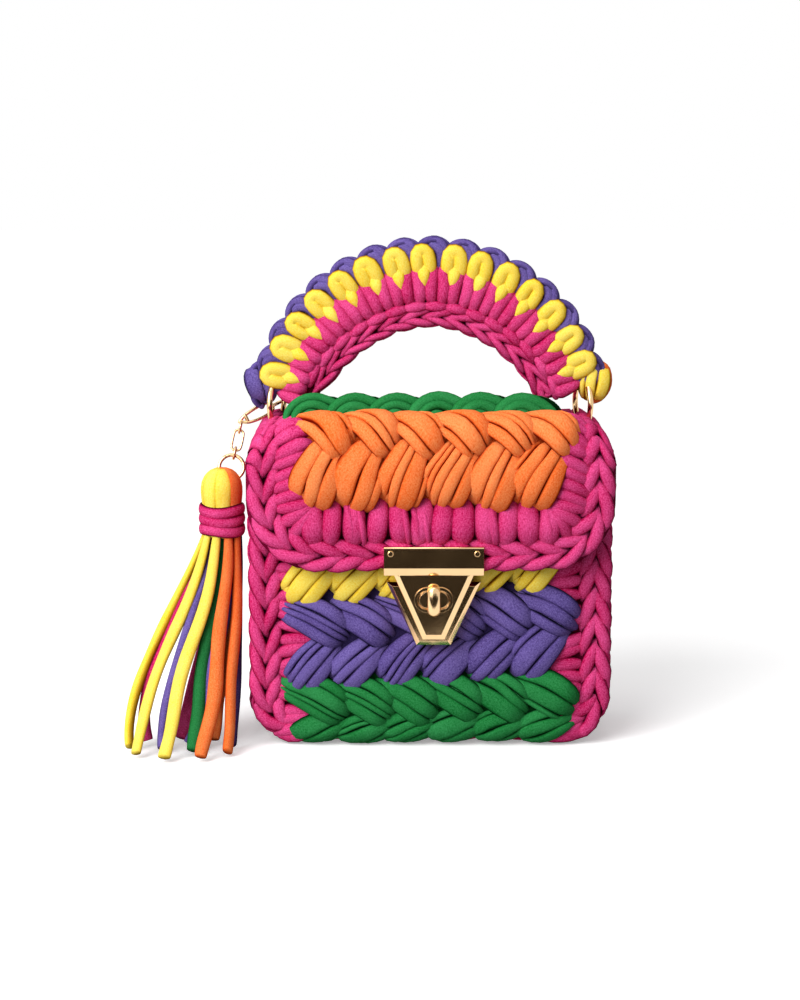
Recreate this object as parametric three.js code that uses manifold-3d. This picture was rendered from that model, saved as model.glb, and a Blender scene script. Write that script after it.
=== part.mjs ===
// A structured handbag crocheted in thick T-shirt yarn, with a front flap, a turn lock,
// an arched handle on two rings and a tassel charm hung on the left ring.
// Millimetres, +Z up, the front faces -Y and the origin is the middle of the flat bottom.
import * as THREE from 'three';
import { mergeVertices } from 'three/addons/utils/BufferGeometryUtils.js';
import Module from 'manifold-3d';

const wasm = await Module();
wasm.setup();

// Bag body
const BAG_WIDTH = 187;
const INNER_DEPTH = 52;
const PANEL_HEIGHT = 157.7;
const FABRIC = 8;
const BOTTOM_RADIUS = 24;
const SHOULDER_RADIUS = 20;
const GAP = 0.3;

// Braid rows that stand out from the fabric
const ROW_RELIEF = 8.7;
const ROW_WIDTH = BAG_WIDTH - 39;
const FRONT_ROWS = [
  { colour: 'green', height: 34.4 },
  { colour: 'purple', height: 44.4 },
  { colour: 'yellow', height: 33.2 },
];
const BACK_ROW_COUNT = 4;

// Flap
const FLAP_DROP = 73.5;
const FLAP_BEND = 14;
const FLAP_INSET = 1;
const FLAP_CORNER = 36;
const FLAP_ROW_START = 31;
const FLAP_ROW_SPAN = 48;
const TOP_ROW_SPAN = 26;
const TOP_ROW_RELIEF = 12;

// Handle, as wide as the bag, and its rings
const HANDLE_OUTER = BAG_WIDTH / 2;
const HANDLE_PURPLE = HANDLE_OUTER - 6.5;
const HANDLE_YELLOW = HANDLE_PURPLE - 17;
const HANDLE_INNER = HANDLE_YELLOW - 21.5;
const HANDLE_FLARE = 11;
const FLARE_ANGLE = 62;
const HANDLE_THICKNESS = 14;
const HANDLE_DROP = 9.4;
const RING_RADIUS = 12;
const RING_WIRE = 1.5;
const RING_X = HANDLE_PURPLE - 8;
const RING_PLAY = 0.5;

// Turn lock
const LOCK_X = 1.5;
const BAR_WIDTH = 50;
const BAR_HEIGHT = 14;
const BAR_THICKNESS = 2.6;
const BAR_CHAMFER = 4;
const HASP_TOP_WIDTH = 41;
const HASP_BOTTOM_WIDTH = 11;
const HASP_LENGTH = 33.8;
const HASP_THICKNESS = 1.8;
const HASP_RIM = 2.6;
const HASP_RIM_DEPTH = 1.2;
const TRAY_MARGIN = 4.2;
const TRAY_DROP = 5;
const TRAY_WALL = 1.6;
const TRAY_RIM = 2.4;
const SLOT_WIDTH = 16.4;
const SLOT_HEIGHT = 9.8;
const EYELET_RIM = 1.5;
const EYELET_HEIGHT = 1.1;
const COLLAR_MARGIN = 1.0;
const SHANK_RADIUS = 2.2;
const KNOB_WIDTH = 6.5;
const KNOB_LENGTH = 15;
const KNOB_THICKNESS = 4.4;
const KNOB_ROUNDING = 1.9;
const LOCK_DROP = 13.3;
const SCREW_INSET = 3.4;
const SCREW_HEAD = 1.45;
const SCREW_SHANK = 0.8;
const PRONG_WIDTH = 4;
const PRONG_THICKNESS = 1;
const PLATE_THICKNESS = 1.2;

// Charm
const LINK_WIRE = 0.75;
const LINK_PLAY = 0.3;
const TASSEL_RING_RADIUS = 6.5;
const TASSEL_RING_WIRE = 1.1;
const NECK_RADIUS = 9.3;
const HEAD_HEIGHT = 17;
const BAND_HEIGHT = 15;
const BAND_WALL = 2.3;
const STRAND_DIAMETER = 5.4;
const STRAND_STEPS = 16;
const OUTER_STRANDS = ['yellow', 'yellow', 'yellow', 'orange', 'orange', 'purple', 'orange', 'magenta', 'magenta'];
const INNER_STRANDS = ['purple', 'green', 'purple'];

// Sizes that follow from the ones above
const sideFace = BAG_WIDTH / 2;
const panelBack = INNER_DEPTH / 2 + GAP;
const frontFace = -panelBack - FABRIC;
const backFace = panelBack + FABRIC;
const rowFront = frontFace - GAP - ROW_RELIEF;
const flapInner = rowFront - GAP;
const flapFront = flapInner - FABRIC;
const flapTop = PANEL_HEIGHT + GAP + FABRIC;
const flapBottom = flapTop - FLAP_DROP;
const flapHalf = sideFace - FLAP_INSET;
const backSeam = flapTop - FLAP_BEND - 3;
const ringHeight = flapTop - FABRIC * 0.7 + RING_RADIUS;
const handleEnd = ringHeight + 1;
const handleCentre = handleEnd - HANDLE_DROP;
const haspBack = flapFront - GAP;
const haspFront = haspBack - HASP_THICKNESS;
const barBack = haspFront - GAP;
const trayBack = rowFront - GAP;
const trayFront = haspBack + GAP;
const eyeletFront = haspFront - GAP / 3 - EYELET_HEIGHT;
const lockHeight = flapBottom - LOCK_DROP;

// Finishes
const finish = (colour, roughness, metalness) => new THREE.MeshStandardMaterial({ color: colour, roughness, metalness });
const yarn = {
  magenta: finish(0xc8286e, 0.9, 0),
  yellow: finish(0xe8be3c, 0.9, 0),
  purple: finish(0x5f4f96, 0.9, 0),
  green: finish(0x1b7a3c, 0.9, 0),
  orange: finish(0xee7a35, 0.9, 0),
};
const gold = finish(0xd9b07a, 0.2, 1);
const steel = finish(0xb8bcc0, 0.35, 1);

// Solid modelling helpers
function toSolid(geometry) {
  const bare = geometry.clone();
  bare.deleteAttribute('normal');
  bare.deleteAttribute('uv');
  const merged = mergeVertices(bare, 1e-4);
  const corners = [];
  for (let i = 0; i < merged.index.count; i += 3) {
    const triangle = [merged.index.getX(i), merged.index.getX(i + 1), merged.index.getX(i + 2)];
    if (new Set(triangle).size === 3) corners.push(...triangle);
  }
  const mesh = new wasm.Mesh({
    numProp: 3,
    vertProperties: new Float32Array(merged.attributes.position.array),
    triVerts: new Uint32Array(corners),
  });
  mesh.merge();
  return new wasm.Manifold(mesh);
}

function toGeometry(solid) {
  const mesh = solid.getMesh();
  const geometry = new THREE.BufferGeometry();
  geometry.setAttribute('position', new THREE.BufferAttribute(new Float32Array(mesh.vertProperties), 3));
  geometry.setIndex(new THREE.BufferAttribute(new Uint32Array(mesh.triVerts), 1));
  geometry.computeVertexNormals();
  return geometry;
}

function cut(geometry, cutters) {
  return toGeometry(cutters.reduce((solid, cutter) => solid.subtract(toSolid(cutter)), toSolid(geometry)));
}

function join(geometry, others) {
  return toGeometry(others.reduce((solid, other) => solid.add(toSolid(other)), toSolid(geometry)));
}

function common(geometry, other) {
  return toGeometry(toSolid(geometry).intersect(toSolid(other)));
}

// A plate cut to an outline drawn in x and z, running forward from yBack
function plate(outline, yBack, thickness, curveSegments = 8) {
  const geometry = new THREE.ExtrudeGeometry(outline, { depth: thickness, bevelEnabled: false, curveSegments });
  return geometry.rotateX(Math.PI / 2).translate(0, yBack, 0);
}

// A plate whose front edges slope over a rim of some width and depth; the back edges stay square
function rimmedPlate(outline, yBack, thickness, rim, rimDepth, curveSegments = 8) {
  const geometry = new THREE.ExtrudeGeometry(outline, {
    depth: thickness,
    bevelEnabled: true,
    bevelSegments: 1,
    bevelThickness: rimDepth,
    bevelSize: rim,
    bevelOffset: -rim,
    curveSegments,
  });
  geometry.rotateX(Math.PI / 2).translate(0, yBack + rimDepth, 0);
  const reach = 400;
  const behind = block(-reach, yBack, -reach, reach, yBack + reach, reach);
  return cut(geometry, [behind]);
}

// A bar of constant section across the bag, the section drawn in y and z
const acrossBag = new THREE.Matrix4().makeBasis(
  new THREE.Vector3(0, 1, 0),
  new THREE.Vector3(0, 0, 1),
  new THREE.Vector3(1, 0, 0),
);
function crossBar(section, width, middle = 0) {
  const geometry = new THREE.ExtrudeGeometry(section, { depth: width, bevelEnabled: false });
  return geometry.applyMatrix4(acrossBag).translate(middle - width / 2, 0, 0);
}

function block(x0, y0, z0, x1, y1, z1) {
  const geometry = new THREE.BoxGeometry(x1 - x0, y1 - y0, z1 - z0);
  return geometry.translate((x0 + x1) / 2, (y0 + y1) / 2, (z0 + z1) / 2);
}

// A round pin along Y from yBack forward
function pin(x, z, radius, yBack, length, sides = 16) {
  const geometry = new THREE.CylinderGeometry(radius, radius, length, sides);
  return geometry.translate(x, yBack - length / 2, z);
}

// A rectangle in x and z with one radius for the lower corners and one for the upper
function roundedOutline(half, low, high, lowRadius, highRadius) {
  const outline = new THREE.Shape();
  outline.moveTo(-half + lowRadius, low);
  outline.lineTo(half - lowRadius, low);
  outline.absarc(half - lowRadius, low + lowRadius, lowRadius, -Math.PI / 2, 0, false);
  outline.lineTo(half, high - highRadius);
  outline.absarc(half - highRadius, high - highRadius, highRadius, 0, Math.PI / 2, false);
  outline.lineTo(-half + highRadius, high);
  outline.absarc(-half + highRadius, high - highRadius, highRadius, Math.PI / 2, Math.PI, false);
  outline.lineTo(-half, low + lowRadius);
  outline.absarc(-half + lowRadius, low + lowRadius, lowRadius, Math.PI, Math.PI * 1.5, false);
  return outline;
}

// A flat-sided oval in x and z, lying along x
function oval(type, x, z, width, height) {
  const radius = height / 2;
  const straight = width / 2 - radius;
  const outline = new type();
  outline.moveTo(x - straight, z - radius);
  outline.lineTo(x + straight, z - radius);
  outline.absarc(x + straight, z, radius, -Math.PI / 2, Math.PI / 2, false);
  outline.lineTo(x - straight, z + radius);
  outline.absarc(x - straight, z, radius, Math.PI / 2, Math.PI * 1.5, false);
  return outline;
}

// A four-sided outline, wide at the top
function trapezoid(x, low, high, lowHalf, highHalf) {
  const outline = new THREE.Shape();
  outline.moveTo(x - lowHalf, low);
  outline.lineTo(x + lowHalf, low);
  outline.lineTo(x + highHalf, high);
  outline.lineTo(x - highHalf, high);
  outline.closePath();
  return outline;
}

const bag = new THREE.Group();
bag.name = 'crocheted_flap_handbag';
function addPiece(name, geometry, material) {
  const piece = new THREE.Mesh(geometry, material);
  piece.name = name;
  bag.add(piece);
}

// Gusset: one strip that makes both sides and the bottom
const innerSide = sideFace - FABRIC;
const innerRadius = BOTTOM_RADIUS - FABRIC;
const strip = new THREE.Shape();
strip.moveTo(-sideFace, PANEL_HEIGHT);
strip.lineTo(-sideFace, BOTTOM_RADIUS);
strip.absarc(-sideFace + BOTTOM_RADIUS, BOTTOM_RADIUS, BOTTOM_RADIUS, Math.PI, Math.PI * 1.5, false);
strip.lineTo(sideFace - BOTTOM_RADIUS, 0);
strip.absarc(sideFace - BOTTOM_RADIUS, BOTTOM_RADIUS, BOTTOM_RADIUS, -Math.PI / 2, 0, false);
strip.lineTo(sideFace, PANEL_HEIGHT);
strip.lineTo(innerSide, PANEL_HEIGHT);
strip.lineTo(innerSide, BOTTOM_RADIUS);
strip.absarc(innerSide - innerRadius, BOTTOM_RADIUS, innerRadius, 0, -Math.PI / 2, true);
strip.lineTo(-innerSide + innerRadius, FABRIC);
strip.absarc(-innerSide + innerRadius, BOTTOM_RADIUS, innerRadius, -Math.PI / 2, -Math.PI, true);
strip.lineTo(-innerSide, PANEL_HEIGHT);
const shoulders = roundedOutline(sideFace + 1, -10, flapTop, 2, SHOULDER_RADIUS);
const shoulderBlock = plate(shoulders, 200, 400);
const gussetStrip = common(plate(strip, INNER_DEPTH / 2, INNER_DEPTH), shoulderBlock);

// Turn lock outlines, needed for the slots that its pieces make in the yarn
const haspLow = flapBottom - HASP_LENGTH;
const trayLow = haspLow - TRAY_DROP * 0.7;
const trayHigh = flapBottom - TRAY_DROP;
const trayLowHalf = HASP_BOTTOM_WIDTH / 2 + TRAY_MARGIN * 0.75;
const trayHighHalf = HASP_TOP_WIDTH / 2 + TRAY_MARGIN * 0.75;
const prongSpots = [
  { x: LOCK_X, z: trayLow + TRAY_WALL },
  { x: LOCK_X - trayHighHalf + 6, z: trayHigh - TRAY_WALL },
  { x: LOCK_X + trayHighHalf - 6, z: trayHigh - TRAY_WALL },
];
const backingFront = -INNER_DEPTH / 2;
const prongEnd = backingFront + PLATE_THICKNESS + GAP * 2;
function prongs(play) {
  return prongSpots.map(({ x, z }) => block(
    x - PRONG_WIDTH / 2 - play,
    trayBack - 0.5,
    z - PRONG_THICKNESS / 2 - play,
    x + PRONG_WIDTH / 2 + play,
    prongEnd + play * 4,
    z + PRONG_THICKNESS / 2 + play,
  ));
}

// Front and back panels
const panelHalf = sideFace - 0.5;
const panelOutline = roundedOutline(panelHalf, 0.5, PANEL_HEIGHT, BOTTOM_RADIUS, SHOULDER_RADIUS);
addPiece('front_panel', cut(plate(panelOutline, -panelBack, FABRIC), prongs(GAP)), yarn.magenta);

function rowOutline(low, height) {
  return roundedOutline(ROW_WIDTH / 2, low, low + height - 2 * GAP, 9, 9);
}
const firstRowLow = 1;
let rowLow = firstRowLow;
FRONT_ROWS.forEach(({ colour, height }) => {
  const row = plate(rowOutline(rowLow, height), frontFace - GAP, ROW_RELIEF, 4);
  addPiece(`front_row_${colour}`, cut(row, prongs(GAP)), yarn[colour]);
  rowLow += height;
});

const backTop = backSeam - GAP;
const backOutline = roundedOutline(panelHalf, 0.5, backTop, BOTTOM_RADIUS, 0.5);
const backPitch = (backTop - 2) / BACK_ROW_COUNT;
const backRows = [];
for (let index = 0; index < BACK_ROW_COUNT; index += 1) {
  const low = firstRowLow + index * backPitch;
  backRows.push(plate(rowOutline(low, backPitch), backFace + ROW_RELIEF, ROW_RELIEF + 1, 4));
}
addPiece('back_panel', join(plate(backOutline, backFace, FABRIC), backRows), yarn.magenta);

// The line that the outside of the flap follows, from its lower edge over the top to the back seam
const flapLine = new THREE.Path();
flapLine.moveTo(flapFront, flapBottom);
flapLine.lineTo(flapFront, flapTop - FLAP_BEND);
flapLine.absarc(flapFront + FLAP_BEND, flapTop - FLAP_BEND, FLAP_BEND, Math.PI, Math.PI / 2, true);
flapLine.lineTo(backFace - FLAP_BEND, flapTop);
flapLine.absarc(backFace - FLAP_BEND, flapTop - FLAP_BEND, FLAP_BEND, Math.PI / 2, 0, true);
flapLine.lineTo(backFace, backSeam);
const flapLength = flapLine.getLength();

function offFlap(along, height) {
  const share = Math.min(Math.max(along / flapLength, 0), 1);
  const point = flapLine.getPoint(share);
  const ahead = flapLine.getPoint(Math.min(share + 0.002, 1));
  const behind = flapLine.getPoint(Math.max(share - 0.002, 0));
  const direction = ahead.sub(behind).normalize();
  return new THREE.Vector2(point.x - direction.y * height, point.y + direction.x * height);
}

// A closed section that follows the flap between two distances, with its own height along the way
function flapSection(from, to, steps, lowHeight, highHeight) {
  const outer = [];
  const inner = [];
  for (let i = 0; i <= steps; i += 1) {
    const share = i / steps;
    const along = from + (to - from) * share;
    outer.push(offFlap(along, highHeight(share)));
    inner.push(offFlap(along, lowHeight));
  }
  return new THREE.Shape([...outer, ...inner.reverse()]);
}

const flapRoom = crossBar(flapSection(0, flapLength, 56, -FABRIC - GAP, () => 1), flapHalf * 2 + 10);
addPiece('gusset', cut(gussetStrip, [flapRoom]), yarn.magenta);

function ringShape(x, wire) {
  const ring = new THREE.TorusGeometry(RING_RADIUS, wire, 8, 32);
  return ring.rotateY(Math.PI / 2).translate(x, 0, ringHeight);
}

const flapBody = common(
  crossBar(flapSection(0, flapLength, 56, -FABRIC, () => 0), flapHalf * 2),
  plate(roundedOutline(flapHalf, flapBottom, flapTop, FLAP_CORNER, SHOULDER_RADIUS), 200, 400),
);
const barHigh = flapBottom + BAR_HEIGHT;
const screwHeight = barHigh - SCREW_INSET;
const screwX = [-1, 1].map((side) => LOCK_X + side * (BAR_WIDTH / 2 - SCREW_INSET));
const clampPocket = block(
  LOCK_X - BAR_WIDTH / 2 - GAP,
  flapInner - PLATE_THICKNESS - GAP,
  flapBottom - 1,
  LOCK_X + BAR_WIDTH / 2 + GAP,
  flapInner + 1,
  barHigh + GAP,
);
addPiece('flap', cut(flapBody, [
  ringShape(-RING_X, RING_WIRE + RING_PLAY),
  ringShape(RING_X, RING_WIRE + RING_PLAY),
  clampPocket,
  ...screwX.map((x) => pin(x, screwHeight, SCREW_SHANK + GAP, flapInner + 2, FABRIC + 4, 10)),
]), yarn.magenta);

const dome = (relief) => (share) => GAP + relief * (0.4 + 0.6 * (1 - (2 * share - 1) ** 4));
const flapRowEnd = FLAP_ROW_START + FLAP_ROW_SPAN;
const topRowStart = flapRowEnd + 3;
addPiece(
  'flap_row_orange',
  crossBar(flapSection(FLAP_ROW_START, flapRowEnd, 14, GAP, dome(ROW_RELIEF)), ROW_WIDTH),
  yarn.orange,
);
addPiece(
  'top_row_green',
  crossBar(flapSection(topRowStart, topRowStart + TOP_ROW_SPAN, 10, GAP, dome(TOP_ROW_RELIEF)), ROW_WIDTH - 12),
  yarn.green,
);

// Handle: three worked bands of one arch, cut level at both ends, the innermost slimmer towards the ends
const flareTurn = THREE.MathUtils.degToRad(FLARE_ANGLE);
const flaredInner = (turn) => HANDLE_INNER + HANDLE_FLARE * Math.max(0, 1 - turn / flareTurn) ** 1.5;
const ARCH_STEPS = 48;
// One edge of a band from right to left; radiusAt takes the angle above the nearer end
function archEdge(radiusAt) {
  let start = 0;
  for (let i = 0; i < 8; i += 1) start = Math.asin(HANDLE_DROP / radiusAt(start));
  const corners = [];
  for (let i = 0; i <= ARCH_STEPS; i += 1) {
    const turn = start + (Math.PI - 2 * start) * (i / ARCH_STEPS);
    const radius = radiusAt(Math.min(turn, Math.PI - turn));
    corners.push(new THREE.Vector2(radius * Math.cos(turn), handleCentre + radius * Math.sin(turn)));
  }
  return corners;
}
function archBand(innerAt, outerAt) {
  const outline = new THREE.Shape([...archEdge(outerAt), ...archEdge(innerAt).reverse()]);
  return plate(outline, HANDLE_THICKNESS / 2, HANDLE_THICKNESS);
}
const ringHoles = [ringShape(-RING_X, RING_WIRE + GAP), ringShape(RING_X, RING_WIRE + GAP)];
const magentaBand = archBand(flaredInner, () => HANDLE_YELLOW - GAP);
const yellowBand = archBand(() => HANDLE_YELLOW, () => HANDLE_PURPLE - GAP);
const purpleEdge = archBand(() => HANDLE_PURPLE, () => HANDLE_OUTER);
addPiece('handle_magenta_band', cut(magentaBand, ringHoles), yarn.magenta);
addPiece('handle_yellow_band', cut(yellowBand, ringHoles), yarn.yellow);
addPiece('handle_purple_edge', cut(purpleEdge, ringHoles), yarn.purple);
addPiece('ring_left', ringShape(-RING_X, RING_WIRE), gold);
addPiece('ring_right', ringShape(RING_X, RING_WIRE), gold);

// Turn lock on the flap: clamp bar, clamp plate behind the yarn, screws, hasp plate and eyelet
const barSection = new THREE.Shape();
barSection.moveTo(barBack, flapBottom - 0.8);
barSection.lineTo(barBack, barHigh);
barSection.lineTo(barBack - BAR_THICKNESS + 0.6, barHigh);
barSection.lineTo(barBack - BAR_THICKNESS, barHigh - 0.6);
barSection.lineTo(barBack - BAR_THICKNESS, flapBottom + BAR_CHAMFER - 0.8);
barSection.lineTo(barBack - 0.6, flapBottom - 0.8);
barSection.closePath();
const screwHoles = screwX.map((x) => pin(x, screwHeight, SCREW_SHANK + GAP, flapInner + 4, 30, 10));
addPiece('clasp_bar', cut(crossBar(barSection, BAR_WIDTH, LOCK_X), screwHoles), gold);
const clampPlate = block(
  LOCK_X - BAR_WIDTH / 2,
  flapInner - PLATE_THICKNESS,
  flapBottom + 0.5,
  LOCK_X + BAR_WIDTH / 2,
  flapInner,
  barHigh,
);
addPiece('clasp_clamp_plate', cut(clampPlate, screwHoles), gold);
const barFront = barBack - BAR_THICKNESS;
['left', 'right'].forEach((side, index) => {
  const head = pin(screwX[index], screwHeight, SCREW_HEAD, barFront - GAP / 3, 0.8, 16);
  const shank = pin(screwX[index], screwHeight, SCREW_SHANK, flapInner, flapInner - barFront + 0.4, 10);
  addPiece(`clasp_screw_${side}`, join(head, [shank]), gold);
});

const haspOutline = new THREE.Shape();
const tabHalf = BAR_WIDTH / 2 - SCREW_INSET * 2 - SCREW_HEAD;
haspOutline.moveTo(LOCK_X - HASP_BOTTOM_WIDTH / 2, haspLow);
haspOutline.lineTo(LOCK_X + HASP_BOTTOM_WIDTH / 2, haspLow);
haspOutline.lineTo(LOCK_X + HASP_TOP_WIDTH / 2, flapBottom);
haspOutline.lineTo(LOCK_X + tabHalf, flapBottom + 2);
haspOutline.lineTo(LOCK_X + tabHalf, barHigh - 2);
haspOutline.lineTo(LOCK_X - tabHalf, barHigh - 2);
haspOutline.lineTo(LOCK_X - tabHalf, flapBottom + 2);
haspOutline.lineTo(LOCK_X - HASP_TOP_WIDTH / 2, flapBottom);
haspOutline.closePath();
const slotCutter = plate(oval(THREE.Shape, LOCK_X, lockHeight, SLOT_WIDTH, SLOT_HEIGHT), haspBack + 5, 20);
addPiece('clasp_hasp_plate', cut(rimmedPlate(haspOutline, haspBack, HASP_THICKNESS, HASP_RIM, HASP_RIM_DEPTH), [slotCutter]), gold);
const eyelet = oval(
  THREE.Shape,
  LOCK_X,
  lockHeight,
  SLOT_WIDTH + 2 * EYELET_RIM,
  SLOT_HEIGHT + 2 * EYELET_RIM,
);
eyelet.holes.push(oval(THREE.Path, LOCK_X, lockHeight, SLOT_WIDTH, SLOT_HEIGHT));
addPiece('clasp_eyelet', plate(eyelet, haspFront - GAP / 3, EYELET_HEIGHT), gold);

// Turn lock on the bag: hollow tray with a collar and prongs, backing plate, knob and what holds it
const trayOutline = trapezoid(LOCK_X, trayLow, trayHigh, trayLowHalf, trayHighHalf);
const trayDepth = trayBack - trayFront;
const shell = rimmedPlate(trayOutline, trayBack, trayDepth, TRAY_RIM, TRAY_RIM);
const cavityOutline = trapezoid(
  LOCK_X,
  trayLow + TRAY_WALL * 2,
  trayHigh - TRAY_WALL * 2,
  trayLowHalf - TRAY_WALL,
  trayHighHalf - TRAY_WALL * 2.5,
);
const cavity = plate(cavityOutline, trayBack + 1, trayDepth - TRAY_WALL * 1.5 + 1);
const collarFront = eyeletFront + 0.2;
const collarOutline = oval(
  THREE.Shape,
  LOCK_X,
  lockHeight,
  SLOT_WIDTH - 2 * COLLAR_MARGIN,
  SLOT_HEIGHT - 2 * COLLAR_MARGIN,
);
const collar = plate(collarOutline, trayFront + 0.4, trayFront + 0.4 - collarFront);
const shankBore = pin(LOCK_X, lockHeight, SHANK_RADIUS + GAP, trayBack + 4, 30);
const prongPieces = prongs(0);
const tray = join(cut(shell, [cavity]), [collar, ...prongPieces]);
addPiece('clasp_base_tray', cut(tray, [shankBore]), gold);
const backingOutline = trapezoid(LOCK_X, trayLow, trayHigh, trayLowHalf + 4, trayHighHalf);
const backing = plate(backingOutline, backingFront + GAP + PLATE_THICKNESS, PLATE_THICKNESS);
addPiece('clasp_backing_plate', cut(backing, prongs(GAP)), gold);

const knobBack = eyeletFront - 0.5;
const knobOutline = oval(THREE.Shape, 0, 0, KNOB_LENGTH, KNOB_WIDTH);
const knobGrip = new THREE.ExtrudeGeometry(knobOutline, {
  depth: KNOB_THICKNESS - 2 * KNOB_ROUNDING,
  bevelEnabled: true,
  bevelSegments: 4,
  bevelThickness: KNOB_ROUNDING,
  bevelSize: KNOB_ROUNDING,
  bevelOffset: -KNOB_ROUNDING,
  curveSegments: 6,
});
knobGrip.rotateZ(Math.PI / 2).rotateX(Math.PI / 2).translate(LOCK_X, knobBack - KNOB_ROUNDING, lockHeight);
const shankBack = trayFront + TRAY_WALL * 1.5 + 3;
const shank = pin(LOCK_X, lockHeight, SHANK_RADIUS, shankBack, shankBack - knobBack + 1);
addPiece('clasp_turn_knob', join(knobGrip, [shank]), gold);

function washer(radius, yBack, thickness) {
  const disc = pin(LOCK_X, lockHeight, radius, yBack, thickness, 20);
  return cut(disc, [pin(LOCK_X, lockHeight, SHANK_RADIUS + GAP / 2, yBack + 2, thickness + 4, 20)]);
}
const springBack = trayFront + TRAY_WALL * 1.5 + 0.9;
addPiece('clasp_detent_spring', washer(SHANK_RADIUS * 2, springBack, 0.6), steel);
addPiece('clasp_retaining_clip', washer(SHANK_RADIUS * 1.7, springBack + 1.2, 0.8), steel);

// Charm: small links walked from the left ring to the tassel ring, each hung inside the one before
function linkShape(centre, along, side, radius, wire, straight) {
  const link = new THREE.TorusGeometry(radius, wire, 6, 20);
  const position = link.attributes.position;
  for (let i = 0; i < position.count; i += 1) {
    const x = position.getX(i);
    if (Math.abs(x) > 0.01) position.setX(i, x + Math.sign(x) * straight / 2);
  }
  const across = side.clone().addScaledVector(along, -side.dot(along)).normalize();
  const normal = along.clone().cross(across);
  const place = new THREE.Matrix4().makeBasis(along, across, normal).setPosition(centre);
  return link.applyMatrix4(place);
}

const facingSide = new THREE.Vector3(0.5, 0, -0.85);
const edgeSide = new THREE.Vector3(0, 1, 0);
const acrossSide = new THREE.Vector3(1, 0, 0);
const hangAngle = THREE.MathUtils.degToRad(8);
const hangPoint = new THREE.Vector3(
  -RING_X,
  RING_RADIUS * Math.cos(hangAngle),
  ringHeight - RING_RADIUS * Math.sin(hangAngle),
);
const overShoulder = new THREE.Vector3(-0.88, -0.2, -0.42).normalize();
const downwards = new THREE.Vector3(-0.2, -0.3, -0.93).normalize();
const charm = [
  { name: 'charm_jump_ring', radius: 3.6, straight: 0, way: overShoulder, side: edgeSide },
  { name: 'charm_snap_hook', radius: 3.6, straight: 13, way: overShoulder, side: facingSide },
  { name: 'charm_link_top', radius: 3.3, straight: 0, way: downwards, side: edgeSide },
  { name: 'charm_link_middle', radius: 2.6, straight: 6, way: downwards, side: acrossSide },
  { name: 'charm_link_low', radius: 3.2, straight: 0, way: downwards, side: edgeSide },
];
let contact = hangPoint.clone();
let lastWire = RING_WIRE;
let lastWay = overShoulder;
function hangNext(way, reach, wire) {
  const inside = contact.clone().addScaledVector(lastWay, -lastWire - wire - LINK_PLAY);
  const centre = inside.addScaledVector(way, reach);
  contact = centre.clone().addScaledVector(way, reach);
  lastWire = wire;
  lastWay = way;
  return centre;
}
charm.forEach(({ name, radius, straight, way, side }) => {
  const centre = hangNext(way, radius + straight / 2, LINK_WIRE);
  addPiece(name, linkShape(centre, way, side, radius, LINK_WIRE, straight), gold);
});
const tasselRingCentre = hangNext(downwards, TASSEL_RING_RADIUS, TASSEL_RING_WIRE);
const tasselRing = (play) => linkShape(
  tasselRingCentre,
  downwards,
  acrossSide,
  TASSEL_RING_RADIUS,
  TASSEL_RING_WIRE + play,
  0,
);
addPiece('tassel_ring', tasselRing(0), gold);

// Tassel: head and neck in one, band wound round the neck, strands let down from the neck
const tasselX = tasselRingCentre.x - 5;
const tasselY = tasselRingCentre.y - 4;
const headTop = tasselRingCentre.z - TASSEL_RING_RADIUS + 4.5;
const bandTop = headTop - HEAD_HEIGHT;
const bandLow = bandTop - BAND_HEIGHT;
const headProfile = [new THREE.Vector2(0, bandLow), new THREE.Vector2(NECK_RADIUS, bandLow)];
const DOME_STEPS = 6;
for (let i = 0; i <= DOME_STEPS; i += 1) {
  const turn = (i / DOME_STEPS) * Math.PI / 2;
  headProfile.push(new THREE.Vector2(
    i === DOME_STEPS ? 0 : NECK_RADIUS * Math.cos(turn),
    bandTop + 2 + (HEAD_HEIGHT - 2) * Math.sin(turn),
  ));
}
const upright = (geometry) => geometry.rotateX(Math.PI / 2).translate(tasselX, tasselY, 0);
const head = upright(new THREE.LatheGeometry(headProfile, 24));
addPiece('tassel_head', cut(head, [tasselRing(GAP)]), yarn.yellow);
const bandInner = NECK_RADIUS + GAP;
const bandOuter = bandInner + BAND_WALL;
const bandProfile = [
  new THREE.Vector2(bandInner, bandLow),
  new THREE.Vector2(bandOuter - 0.8, bandLow),
  new THREE.Vector2(bandOuter, bandLow + 2),
  new THREE.Vector2(bandOuter, bandTop - 2),
  new THREE.Vector2(bandOuter - 0.8, bandTop),
  new THREE.Vector2(bandInner, bandTop),
  new THREE.Vector2(bandInner, bandLow),
];
addPiece('tassel_band', upright(new THREE.LatheGeometry(bandProfile, 24)), yarn.magenta);

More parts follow.
